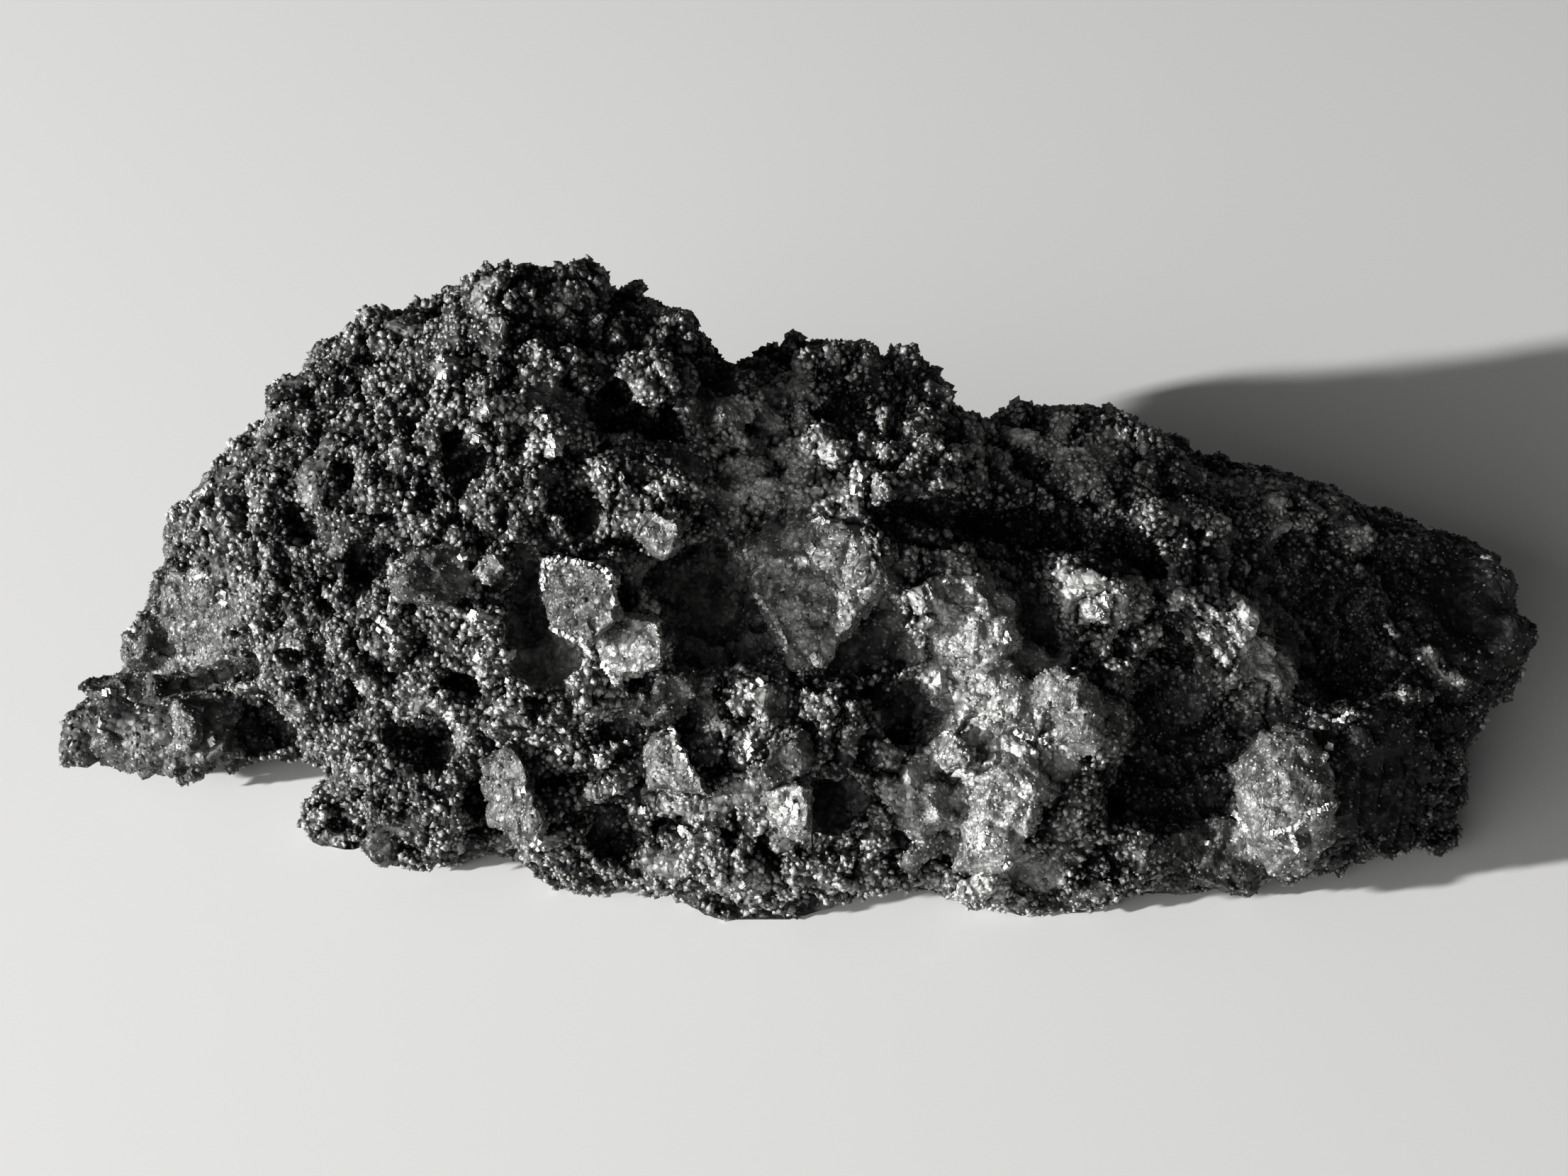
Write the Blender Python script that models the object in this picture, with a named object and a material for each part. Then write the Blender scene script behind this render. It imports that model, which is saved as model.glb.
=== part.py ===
"""A native silver specimen: one grown mass of dark, tarnished, granular silver, lying on its side.

All of it is one solid. Its main lobes overlap and are fused. Knobs, lumps and flat-faced crystals
grow out of them, and moulds, left by crystals that have since gone, are cut into them with straight
edges. It rests on the flat feet that its underside is worn to.
Sizes are millimetres, and the finished mass is scaled to metres at the end.
Frame: +X along the specimen, -Y to its front, +Z up, origin under its middle.
"""

import functools
import math
import random

import bmesh
import bpy
from mathutils import Euler, Matrix, Vector, noise
from mathutils.bvhtree import BVHTree
from mathutils.geometry import intersect_line_plane

MM = 0.001  # metres in a millimetre

# Driving dimensions.
LENGTH = 75.0
VOXEL = 0.45  # the grid that overlapping shapes are fused on
CUTTER_VOXEL = 0.35
TRIANGLES = 9500
SOLE_TOLERANCE = 0.06  # points this near the resting plane are laid on it
SEED = 47  # silver's atomic number

# The front is laid out as it looks from EYE: millimetres right of and above MIDDLE, on the plane
# through MIDDLE that faces EYE.
SIGHT_ELEVATION = math.radians(38.0)
SIGHT_DISTANCE = 122.0
MIDDLE = Vector((-1.0, 0.0, 9.7))
SIGHT_RIGHT = Vector((1.0, 0.0, 0.0))
SIGHT_BACK = Vector((0.0, -math.cos(SIGHT_ELEVATION), math.sin(SIGHT_ELEVATION)))
SIGHT_UP = Vector((0.0, math.sin(SIGHT_ELEVATION), math.cos(SIGHT_ELEVATION)))
EYE = MIDDLE + SIGHT_DISTANCE * SIGHT_BACK

# Main lobes: centre, radii, and turns about X, Y and Z in degrees.
LOBES = (
    # the high left half: a dome, its shoulder and its flank
    ((-13.0, 1.5, 12.0), (13.2, 13.5, 12.8), (0, 0, 0)),
    ((-20.5, 2.5, 10.0), (9.5, 11.0, 11.3), (0, 8, 0)),
    ((-26.5, 2.8, 9.0), (5.1, 7.5, 5.8), (0, 20, 0)),
    # the saddle
    ((2.5, 1.5, 10.0), (9.0, 12.6, 10.9), (0, 0, 0)),
    # the low right half
    ((14.5, 1.7, 7.2), (10.5, 12.6, 8.7), (0, 6, 0)),
    ((24.0, 2.5, 6.0), (10.5, 10.5, 6.0), (0, 10, 0)),
    ((32.0, 2.5, 5.8), (5.6, 7.5, 4.2), (0, 12, 0)),
    # the foot along the front
    ((-17.5, -2.5, 4.2), (7.2, 9.2, 7.5), (0, 0, 0)),
    ((-10.0, -3.5, 4.5), (8.0, 10.3, 8.5), (0, 0, 0)),
    ((-1.0, -2.5, 5.0), (13.5, 12.6, 10.5), (0, 0, 0)),
    ((12.5, -2.5, 4.2), (14.0, 12.2, 8.3), (0, 0, 0)),
    ((24.5, -3.0, 3.0), (8.0, 8.5, 5.5), (0, 0, 0)),
    ((30.1, -3.4, 3.0), (4.1, 7.0, 4.6), (0, 0, 0)),
    # the round nodule low at the right
    ((25.7, -9.0, 4.7), (4.4, 4.3, 4.6), (0, 0, 0)),
)

# The flattened tongue at the left end, and the thin plate that lies over it.
TONGUE = (
    ((-31.0, -2.3, 2.5), (6.0, 3.0, 1.9), (0, 3, 6)),
    ((-34.6, -2.6, 2.3), (3.7, 2.4, 1.5), (0, 0, 20)),
    ((-28.5, -0.6, 4.2), (6.5, 2.8, 0.9), (18, -5, 0)),
)

# Rounded lumps of the front: right, up, radius.
LUMPS = (
    # along the skyline, from the left
    (-30.6, 3.2, 1.1), (-28.3, 5.3, 1.3), (-27.0, 6.9, 1.2), (-24.2, 9.2, 2.0), (-20.5, 11.8, 2.4),
    (-14.3, 14.0, 2.7), (-10.6, 14.4, 2.6), (-7.7, 14.9, 1.0), (-5.4, 12.6, 1.7), (-1.0, 11.2, 1.2),
    (0.2, 12.0, 1.2), (3.2, 11.4, 1.9), (6.1, 10.7, 2.0), (8.0, 9.2, 1.6), (12.0, 7.6, 1.9),
    (14.8, 7.7, 1.8), (16.9, 8.0, 1.2), (18.2, 6.5, 1.8), (21.8, 6.0, 1.1), (23.4, 5.0, 1.2),
    (25.8, 4.0, 1.5), (28.6, 2.6, 1.1), (32.8, 2.0, 1.1), (35.5, 0.0, 1.8), (36.6, -2.4, 1.6),
    (34.8, -5.8, 1.3), (33.0, -9.3, 1.5), (33.0, -12.2, 1.4),
    # the upper slope
    (-6.5, 10.3, 2.0), (-3.9, 8.6, 1.6), (-1.8, 8.6, 1.7), (-2.3, 10.0, 1.5), (-6.6, 4.6, 2.4),
    (-8.6, 5.3, 1.6), (-1.2, 5.2, 1.5), (0.9, 6.3, 1.5), (2.8, 7.2, 1.4), (4.6, 5.6, 1.3),
    (7.2, 5.4, 1.8), (9.2, 6.6, 1.4), (11.2, 4.7, 1.2), (13.0, 4.9, 1.4), (15.2, 5.6, 1.4),
    (18.4, 3.2, 1.5), (16.3, 3.7, 0.9), (21.5, 3.4, 1.0), (25.7, 3.0, 1.2), (-12.0, 8.4, 1.1),
    (-11.6, 7.1, 0.9), (-15.2, 9.0, 1.2), (-18.6, 6.4, 1.6), (-25.4, 6.3, 1.3), (-13.8, 4.6, 1.4),
    # the left end
    (-31.0, -0.3, 1.4), (-32.6, -2.9, 1.2), (-23.6, -0.2, 1.5), (-20.3, -2.6, 2.4),
    (-24.2, -5.4, 1.4), (-21.5, -7.4, 1.6), (-17.5, -4.0, 1.3),
    # the middle
    (-15.2, -1.9, 1.4), (-14.3, -3.4, 1.0), (-13.0, -5.7, 1.7), (-14.9, -6.1, 1.2),
    (-10.3, -5.9, 2.0), (-9.0, -9.4, 1.7), (-1.4, -5.4, 1.8), (0.2, -11.0, 1.4), (2.8, -6.4, 1.5),
    (5.5, -9.3, 1.3), (6.9, -0.9, 1.7), (8.9, -0.8, 1.6), (9.0, -4.2, 2.0), (11.0, -5.5, 1.9),
    (10.8, -8.6, 2.0), (11.2, -11.4, 2.1), (6.5, -11.5, 2.0),
    # the foot
    (-22.8, -11.8, 1.9), (-19.5, -10.6, 2.0), (-16.9, -11.2, 1.4), (-18.0, -13.2, 1.4),
    (-12.9, -11.4, 1.6), (-6.3, -14.3, 1.4), (-3.2, -13.6, 1.8), (0.6, -14.4, 1.6),
    (3.0, -14.8, 1.5), (5.8, -13.9, 1.6), (9.7, -14.6, 1.8), (14.9, -14.4, 1.6),
    (17.2, -14.8, 1.2), (29.5, -14.4, 1.0), (31.6, -13.8, 1.2),
    # the right half
    (15.3, -0.6, 2.6), (14.3, -6.3, 2.4), (16.6, -7.4, 1.2), (13.4, -10.0, 1.4), (17.9, -3.2, 1.2),
    (20.2, -0.8, 1.5), (22.2, -2.0, 1.8), (24.1, -4.1, 1.3), (22.6, -4.6, 1.1),
    (32.7, -3.3, 1.0), (33.9, -4.8, 1.2), (31.7, -5.2, 0.9), (29.0, -6.3, 1.0),
)

# Flat-faced crystals of the front: how far the face leans to the right and back, in degrees,
# how far it stands proud, and its outline.
CRYSTALS = (
    # the trapezoid plate, and the block at its lower corner
    (-28, 6, 1.2, ((-12.2, 1.5), (-8.6, 0.8), (-8.5, -1.5), (-9.9, -2.8), (-11.7, -2.0))),
    (-30, 12, 1.4, ((-8.8, -1.3), (-6.4, -1.7), (-6.3, -3.8), (-8.3, -4.6), (-9.3, -3.4))),
    # the big slab between the two straight-edged moulds
    (-20, 4, 0.5, ((-2.2, 2.3), (-1.0, 2.6), (0.8, 3.6), (4.6, 2.6), (5.2, 0.2), (3.6, -1.6),
                   (1.8, -3.8), (0.4, -3.8), (-1.3, -0.2))),
    (-25, 0, 1.0, ((-6.9, -7.6), (-5.5, -7.4), (-4.7, -9.5), (-6.9, -10.2))),
    (15, -12, 1.0, ((-8.0, -5.8), (-5.3, -4.3), (-4.4, -5.2), (-5.7, -6.5), (-7.6, -6.7))),
    (12, -10, 1.0, ((-1.3, -9.4), (0.0, -7.7), (1.3, -7.5), (1.4, -9.1), (-0.8, -10.0))),
    (-30, 0, 1.3, ((-15.2, -9.0), (-13.8, -7.9), (-13.0, -9.6), (-12.2, -12.0), (-12.6, -13.0),
                   (-14.6, -11.9))),
    (-25, 10, 1.3, ((7.4, -8.0), (8.3, -7.2), (9.7, -8.3), (9.3, -9.4), (8.3, -9.2))),
    (-20, 5, 1.2, ((-7.7, 2.7), (-6.9, 3.9), (-5.5, 3.4), (-5.3, 2.3), (-6.2, 1.6))),
    (-28, 6, 1.2, ((12.6, -5.6), (13.2, -4.4), (15.0, -4.5), (14.8, -6.0), (13.0, -6.1))),
    (18, 14, 1.0, ((-19.6, 0.3), (-18.6, 1.9), (-16.3, 2.0), (-15.9, 0.0), (-17.4, -0.9),
                   (-19.3, -0.6))),
    (-25, 10, 1.0, ((-15.7, 0.6), (-14.9, 1.8), (-14.0, 1.1), (-14.7, 0.2))),
    # the left flank's face, over the tongue
    (-34, -4, 0.8, ((-31.6, 0.6), (-29.3, 1.0), (-27.3, -3.5), (-32.0, -4.6))),
    # the nodule's face and the smooth toe
    (-32, 8, 0.2, ((24.0, -7.8), (25.4, -7.0), (27.4, -8.4), (28.0, -10.8), (26.4, -11.6),
                   (24.9, -12.2), (23.2, -11.8), (23.0, -9.2))),
    (-20, 14, 1.2, ((19.7, -13.6), (20.5, -11.8), (22.4, -11.6), (24.2, -14.0), (23.6, -15.4),
                    (21.5, -15.0))),
    # thin blades in the hollow at the right
    (30, 0, 1.3, ((28.9, 1.2), (29.5, 1.2), (31.3, -2.7), (30.7, -2.8))),
    (30, 0, 1.0, ((31.9, -0.2), (32.4, -0.2), (33.2, -2.2), (32.7, -2.3))),
    (30, 0, 1.0, ((27.6, -0.4), (28.0, -0.4), (28.4, -3.8), (28.0, -3.9))),
)

# Moulds and hollows of the front: depth, and outline.
MOULDS = (
    # the two big ones, with the straight edges of the crystals that they were
    (6.0, ((-7.2, 0.4), (-5.9, 1.7), (-3.1, 2.7), (-2.5, 1.4), (-1.3, -0.4), (0.1, -3.2),
           (-1.2, -3.7), (-4.4, -4.2), (-5.4, -2.9), (-6.0, -1.2))),
    (3.0, ((5.4, -0.5), (3.9, -1.0), (1.8, -4.0), (3.0, -4.5), (6.4, -4.0), (7.0, -3.0),
           (5.9, -2.2))),
    (4.0, ((3.6, -5.0), (6.7, -4.4), (7.9, -6.4), (7.2, -7.6), (5.2, -7.6))),
    (3.5, ((1.4, -9.8), (3.8, -9.7), (4.0, -11.2), (3.2, -12.2), (1.4, -12.1))),
    # under the left flank, and at the root of the tongue
    (2.5, ((-33.3, -4.3), (-32.0, -4.8), (-26.6, -3.6), (-26.4, -4.4), (-31.5, -5.5))),
    (3.0, ((-27.0, -5.4), (-25.8, -5.5), (-24.6, -6.8), (-24.6, -8.0), (-27.5, -8.6),
           (-27.6, -7.6))),
    # the dark cleft beside the trapezoid plate
    (4.0, ((-14.0, -2.6), (-13.4, 1.8), (-12.5, 1.8), (-12.2, -1.9), (-10.2, -3.1),
           (-10.4, -4.1), (-12.0, -4.9), (-13.6, -4.3))),
    (2.5, ((-17.2, -4.3), (-15.6, -4.2), (-15.4, -5.6), (-17.0, -5.9))),
    (2.5, ((-9.6, -7.1), (-8.4, -6.6), (-5.7, -7.0), (-3.9, -5.9), (-4.2, -7.5), (-7.2, -7.6),
           (-9.4, -7.8))),
    (3.0, ((-10.0, -11.1), (-7.8, -11.2), (-7.6, -13.1), (-9.8, -13.8))),
    (2.5, ((-15.9, -8.4), (-15.2, -8.4), (-14.7, -12.4), (-14.6, -13.8), (-15.8, -13.2))),
    (3.0, ((-19.9, -6.8), (-16.9, -6.7), (-16.5, -8.9), (-17.5, -9.3), (-18.4, -7.9),
           (-19.8, -8.1))),
    # the pits of the left shoulder
    (3.0, ((-23.0, 6.2), (-22.2, 6.9), (-21.5, 6.0), (-21.9, 4.2), (-22.9, 4.6))),
    (3.0, ((-25.2, 3.7), (-24.3, 3.8), (-23.3, 2.8), (-23.8, 2.1), (-24.7, 2.3))),
    (3.5, ((-21.8, 2.0), (-19.8, 2.0), (-19.8, 1.2), (-20.9, -0.2), (-22.0, -0.6))),
    (2.5, ((-14.0, 8.4), (-13.0, 8.3), (-12.8, 7.2), (-13.8, 6.2))),
    (2.0, ((-17.3, 7.8), (-16.0, 7.6), (-15.0, 6.0), (-16.0, 5.0), (-16.9, 6.0))),
    # the crescent under the overhang, and the clefts near it
    (3.0, ((-9.6, 8.9), (-8.9, 11.0), (-8.1, 10.6), (-7.6, 9.2), (-5.2, 8.4), (-4.6, 7.4),
           (-6.5, 7.5), (-8.2, 8.0), (-9.2, 7.1))),
    (3.0, ((-11.0, 4.9), (-9.7, 4.9), (-9.4, 3.0), (-10.6, 2.7))),
    (2.5, ((-4.2, 11.6), (-2.5, 11.5), (-3.3, 9.6), (-3.5, 8.0), (-4.1, 8.6), (-3.9, 10.4))),
    (2.0, ((-3.1, 5.4), (-2.4, 6.0), (-2.7, 4.2), (-3.4, 3.5))),
    (2.0, ((1.8, 9.9), (4.3, 9.9), (4.2, 8.0), (2.2, 8.0))),
    (1.5, ((11.9, 7.0), (13.8, 7.0), (13.8, 5.7), (12.1, 5.6))),
    # the arched groove under the ledge, and the column that falls from it
    (3.2, ((7.9, 4.6), (9.9, 3.8), (13.0, 3.8), (15.4, 3.3), (17.0, 2.6), (18.4, 1.9),
           (15.8, 1.6), (12.9, 1.9), (11.2, 2.0), (9.2, 2.2))),
    (3.0, ((11.2, 1.8), (12.9, 1.6), (12.9, 0.2), (14.1, -2.2), (13.4, -3.4), (12.1, -2.4),
           (11.6, -0.6))),
    # the shadowed hollows of the right half
    (4.5, ((17.2, -4.8), (18.9, -1.9), (21.3, -3.2), (22.0, -5.6), (24.8, -6.1), (23.6, -7.6),
           (22.4, -9.3), (22.2, -11.3), (19.4, -11.6), (16.0, -11.4), (16.6, -9.0),
           (18.2, -7.4))),
    (4.0, ((24.0, -0.8), (24.2, 1.7), (28.3, 2.2), (29.0, 0.4), (29.6, -1.2), (31.2, -4.6),
           (29.5, -5.6), (27.3, -5.9), (25.9, -5.4), (24.9, -2.8))),
    (2.0, ((11.3, -13.9), (13.6, -13.8), (14.1, -15.4), (11.5, -15.3))),
)

SUNK = 0.35  # how deep a lump's centre is sunk, as a share of its radius
SOLE_RISE = 0.6  # how far below the resting plane a hollow's centre is, as a share of its radius
NEAR = 6.0  # how far in front of the skin a mould's cutter starts
MOULD_TAPER = 0.55  # the width at a mould's bottom, as a share of its mouth
ROOT_DEPTH = 4.0  # how deep a crystal is rooted
ROOT_SPREAD = 1.3  # the width at its root, as a share of its face

# What grows at random: small knobs all over, and lumps, blocks and pits on the far sides, which
# the lists above leave out. Each is a count over the whole skin, and the least and greatest size.
KNOBS = (440, 0.6, 1.4)
BACK_LUMPS = (160, 1.6, 3.2)
BLOCKS = (140, 2.4, 4.8)
PITS = (140, 1.8, 4.4)
BEHIND = -0.5  # skin that looks further than this away from EYE is on a far side

# Hollows of the underside, which leave its feet: a count, and the least and greatest radius.
SOLE_HOLLOWS = (48, 1.3, 3.6)
SOLE_SPAN = (25.0, 11.0)  # how far they spread along and across
SOLE_DEPTH = 12.0  # more than the mass reaches below its resting plane


def clear_scene():
    for obj in list(bpy.data.objects):
        bpy.data.objects.remove(obj)


def object_of(heap, name):
    mesh = bpy.data.meshes.new(name)
    heap.to_mesh(mesh)
    heap.free()
    obj = bpy.data.objects.new(name, mesh)
    bpy.context.scene.collection.objects.link(obj)
    return obj


def apply_modifiers(obj):
    """Replaces the object's mesh by what its modifiers make of it."""
    graph = bpy.context.evaluated_depsgraph_get()
    mesh = bpy.data.meshes.new_from_object(obj.evaluated_get(graph))
    obj.modifiers.clear()
    obj.data = mesh


def fuse(obj, voxel):
    """Makes one skin round every shape in the object that overlaps another."""
    remesh = obj.modifiers.new("fuse", "REMESH")
    remesh.mode = "VOXEL"
    remesh.voxel_size = voxel
    apply_modifiers(obj)


def cut(obj, tool):
    """Takes the tool away from the object, and removes the tool."""
    boolean = obj.modifiers.new("cut", "BOOLEAN")
    boolean.operation = "DIFFERENCE"
    boolean.object = tool
    apply_modifiers(obj)
    bpy.data.objects.remove(tool)


@functools.cache
def unit_ball(detail):
    """The points and faces of a ball of radius 1."""
    ball = bmesh.new()
    bmesh.ops.create_icosphere(ball, subdivisions=detail, radius=1.0)
    points = [vert.co.copy() for vert in ball.verts]
    faces = [[vert.index for vert in face.verts] for face in ball.faces]
    ball.free()
    return points, faces


def add_ellipsoid(heap, centre, radii, turns=(0, 0, 0), detail=4):
    """Adds a closed ellipsoid to the bmesh heap, and returns its vertices."""
    turn = Euler([math.radians(a) for a in turns]).to_matrix().to_4x4()
    place = Matrix.Translation(centre) @ turn @ Matrix.Diagonal((*radii, 1.0))
    points, faces = unit_ball(detail)
    verts = [heap.verts.new(place @ co) for co in points]
    for face in faces:
        heap.faces.new([verts[i] for i in face])
    return verts


def add_block(heap, centre, size, dice):
    """Adds a skewed box, such as a crystal or the mould of one."""
    turn = Euler([dice.uniform(0, math.tau) for _ in range(3)]).to_matrix()
    sides = [size * dice.uniform(0.7, 1.0) for _ in range(3)]
    skew = Matrix(((1, dice.uniform(-0.3, 0.3), 0), (0, 1, dice.uniform(-0.3, 0.3)), (0, 0, 1)))
    place = Matrix.Translation(centre) @ (turn @ skew @ Matrix.Diagonal(sides)).to_4x4()
    corners = ((-1, -1), (1, -1), (1, 1), (-1, 1))
    rings = [[place @ Vector((x / 2, y / 2, z)) for x, y in corners] for z in (-0.5, 0.5)]
    add_prism(heap, *rings)


def add_lump(heap, centre, radius, dice):
    """Adds a rounded lump with an uneven, slightly angular skin."""
    radii = [radius * dice.uniform(0.85, 1.1) for _ in range(3)]
    turns = [dice.uniform(0, 360) for _ in range(3)]
    for vert in add_ellipsoid(heap, centre, radii, turns, detail=3):
        swell = noise.noise(vert.co * 1.1 / radius + Vector((radius, 0, 0)) * 10)
        vert.co += (vert.co - centre) * swell * 0.35


def add_prism(heap, *rings):
    """Adds the closed solid that runs through rings with the same number of points."""
    rings = [[heap.verts.new(co) for co in ring] for ring in rings]
    faces = [heap.faces.new(rings[0]), heap.faces.new(rings[-1][::-1])]
    for upper, lower in zip(rings, rings[1:]):
        for i in range(len(upper)):
            faces.append(heap.faces.new((upper[i], upper[i - 1], lower[i - 1], lower[i])))
    bmesh.ops.recalc_face_normals(heap, faces=faces)


def sight_line(right, up):
    """The direction from EYE to a point of the front's plane."""
    return (MIDDLE + right * SIGHT_RIGHT + up * SIGHT_UP - EYE).normalized()


def seen_at(co):
    """The right and up at which a point is seen from EYE."""
    ray = co - EYE
    scale = SIGHT_DISTANCE / -ray.dot(SIGHT_BACK)
    return ray.dot(SIGHT_RIGHT) * scale, ray.dot(SIGHT_UP) * scale


def sight_depth(skin, right, up):
    """How far from EYE the skin is met, or passed closest where the line misses it."""
    line = sight_line(right, up)
    hit = skin.ray_cast(EYE, line)[0]
    if hit is None:
        hit = skin.find_nearest(MIDDLE + right * SIGHT_RIGHT + up * SIGHT_UP)[0]
    return (hit - EYE).dot(line)


def centre_of(outline):
    count = len(outline)
    return sum(p[0] for p in outline) / count, sum(p[1] for p in outline) / count


def inside(outline, right, up):
    """Whether a point is inside an outline, by counting the edges to its right."""
    odd = False
    for (x1, y1), (x2, y2) in zip(outline, outline[1:] + outline[:1]):
        if (y1 > up) != (y2 > up) and right < x1 + (up - y1) * (x2 - x1) / (y2 - y1):
            odd = not odd
    return odd


def skin_of(obj):
    heap = bmesh.new()
    heap.from_mesh(obj.data)
    skin = BVHTree.FromBMesh(heap)
    heap.free()
    return skin


def build_body():
    """Fuses the lobes and the tongue, and gives them an uneven skin."""
    heap = bmesh.new()
    for centre, radii, turns in LOBES + TONGUE:
        add_ellipsoid(heap, centre, radii, turns)
    mass = object_of(heap, "silver_mass")
    fuse(mass, VOXEL)
    heap = bmesh.new()
    heap.from_mesh(mass.data)
    heap.normal_update()
    for vert in heap.verts:
        broad = noise.noise(vert.co / 6.0)
        fine = noise.noise(vert.co / 2.3 + Vector((50.0, 0.0, 0.0)))
        vert.co += vert.normal * (0.9 * broad + 0.45 * fine)
    heap.to_mesh(mass.data)
    heap.free()
    return mass


def facing(polygon):
    """How squarely a face looks at EYE: 1 straight at it, 0 edge on, and below 0 away from it."""
    return polygon.normal.dot((EYE - polygon.center).normalized())


def scattered(mass, kind, dice):
    """Picks faces of the mass at random, as many for the same area anywhere, and their sizes."""
    count, least, greatest = kind
    polygons = mass.data.polygons
    picked = dice.choices(polygons, [p.area for p in polygons], k=count)
    return [(polygon, dice.uniform(least, greatest)) for polygon in picked]


def scattered_behind(mass, kind, dice):
    """The same, on the far sides alone."""
    return [(face, size) for face, size in scattered(mass, kind, dice) if facing(face) < BEHIND]


def add_growth(heap, mass, dice):
    """Scatters knobs over all but the flat faces, and lumps and blocks over the far sides."""
    outlines = [outline for *_, outline in CRYSTALS]
    for face, radius in scattered(mass, KNOBS, dice):
        place = seen_at(face.center)
        if facing(face) > 0 and any(inside(outline, *place) for outline in outlines):
            continue
        add_lump(heap, face.center - face.normal * radius * SUNK, radius, dice)
    for face, radius in scattered_behind(mass, BACK_LUMPS, dice):
        add_lump(heap, face.center - face.normal * radius * SUNK * 2, radius, dice)
    for face, size in scattered_behind(mass, BLOCKS, dice):
        add_block(heap, face.center, size, dice)


def add_crystal(heap, skin, lean, tilt, proud, outline):
    """Adds a block with a flat face of this outline, rooted in the mass."""
    middle = centre_of(outline)
    line = sight_line(*middle)
    face_point = EYE + line * (sight_depth(skin, *middle) - proud)
    normal = (SIGHT_BACK + math.tan(math.radians(lean)) * SIGHT_RIGHT
              + math.tan(math.radians(tilt)) * SIGHT_UP)
    face = [intersect_line_plane(EYE, EYE + sight_line(*p), face_point, normal) for p in outline]
    root = [face_point + (co - face_point) * ROOT_SPREAD + line * ROOT_DEPTH for co in face]
    add_prism(heap, face, root)


def add_mould(heap, skin, depth, outline):
    """Adds the cutter of a straight-sided hollow with this outline."""
    middle = centre_of(outline)
    start = sight_depth(skin, *middle)
    lines = [sight_line(*p) for p in outline]
    near = [EYE + line * (start - NEAR) for line in lines]
    mouth = [EYE + line * start for line in lines]
    core = EYE + sight_line(*middle) * (start + depth)
    bottom = [core + (EYE + line * (start + depth) - core) * MOULD_TAPER for line in lines]
    add_prism(heap, near, mouth, bottom)


def grow_front(mass, dice):
    """Grows the knobs, lumps and crystals on the body, and fuses them with it."""
    skin = skin_of(mass)
    heap = bmesh.new()
    heap.from_mesh(mass.data)
    add_growth(heap, mass, dice)
    for right, up, radius in LUMPS:
        depth = sight_depth(skin, right, up) + radius * SUNK
        add_lump(heap, EYE + sight_line(right, up) * depth, radius, dice)
    for crystal in CRYSTALS:
        add_crystal(heap, skin, *crystal)
    heap.to_mesh(mass.data)
    heap.free()
    fuse(mass, VOXEL)


def cut_moulds(mass, dice):
    """Cuts the moulds and pits."""
    skin = skin_of(mass)
    heap = bmesh.new()
    for depth, outline in MOULDS:
        add_mould(heap, skin, depth, outline)
    for face, size in scattered_behind(mass, PITS, dice):
        add_block(heap, face.center, size, dice)
    moulds = object_of(heap, "moulds")
    fuse(moulds, CUTTER_VOXEL)
    cut(mass, moulds)
    fuse(mass, VOXEL)


def cut_sole(mass, dice):
    """Cuts the underside flat at the resting plane, and hollows it between the feet."""
    heap = bmesh.new()
    corners = ((-1, -1), (1, -1), (1, 1), (-1, 1))
    rings = [[(LENGTH * x, LENGTH / 2 * y, z) for x, y in corners] for z in (-SOLE_DEPTH, 0.0)]
    add_prism(heap, *rings)
    count, least, greatest = SOLE_HOLLOWS
    for _ in range(count):
        radius = dice.uniform(least, greatest)
        x, y = (dice.uniform(-reach, reach) for reach in SOLE_SPAN)
        add_lump(heap, Vector((x, y, -radius * SOLE_RISE)), radius, dice)
    sole = object_of(heap, "sole")
    fuse(sole, VOXEL)
    cut(mass, sole)
    fuse(mass, VOXEL)


def clean(mass):
    """Drops the loose crumbs that the cuts have left."""
    heap = bmesh.new()
    heap.from_mesh(mass.data)
    left = set(heap.verts)
    bodies = []
    while left:
        stack = [left.pop()]
        body = []
        while stack:
            vert = stack.pop()
            body.append(vert)
            for edge in vert.link_edges:
                other = edge.other_vert(vert)
                if other in left:
                    left.remove(other)
                    stack.append(other)
        bodies.append(body)
    bodies.sort(key=len)
    for body in bodies[:-1]:
        bmesh.ops.delete(heap, geom=body, context="VERTS")
    heap.to_mesh(mass.data)
    heap.free()


def make_facets(mass):
    """Brings the skin down to the facets that its form needs."""
    mass.data.calc_loop_triangles()
    decimate = mass.modifiers.new("facets", "DECIMATE")
    decimate.ratio = TRIANGLES / len(mass.data.loop_triangles)
    decimate.use_collapse_triangulate = True
    apply_modifiers(mass)
    for vert in mass.data.vertices:
        if vert.co.z < SOLE_TOLERANCE:
            vert.co.z = 0.0


def settle(mass):
    """Stands the mass on the origin, at LENGTH, in metres."""
    points = [vert.co for vert in mass.data.vertices]
    low = Vector([min(co[i] for co in points) for i in range(3)])
    high = Vector([max(co[i] for co in points) for i in range(3)])
    foot = Vector(((low.x + high.x) / 2, (low.y + high.y) / 2, 0.0))
    size = MM * LENGTH / (high.x - low.x)
    mass.data.transform(Matrix.Scale(size, 4) @ Matrix.Translation(-foot))


def paint(mass):
    """Gives the mass its dark, tarnished silver."""
    silver = bpy.data.materials.new("tarnished_silver")
    silver.use_nodes = True
    shader = silver.node_tree.nodes["Principled BSDF"]
    shader.inputs["Base Color"].default_value = (0.12, 0.12, 0.118, 1.0)
    shader.inputs["Metallic"].default_value = 0.85
    shader.inputs["Roughness"].default_value = 0.42
    mass.data.materials.append(silver)


def main():
    clear_scene()
    dice = random.Random(SEED)
    mass = build_body()
    grow_front(mass, dice)
    cut_moulds(mass, dice)
    cut_sole(mass, dice)
    clean(mass)
    make_facets(mass)
    settle(mass)
    paint(mass)


main()
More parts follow.
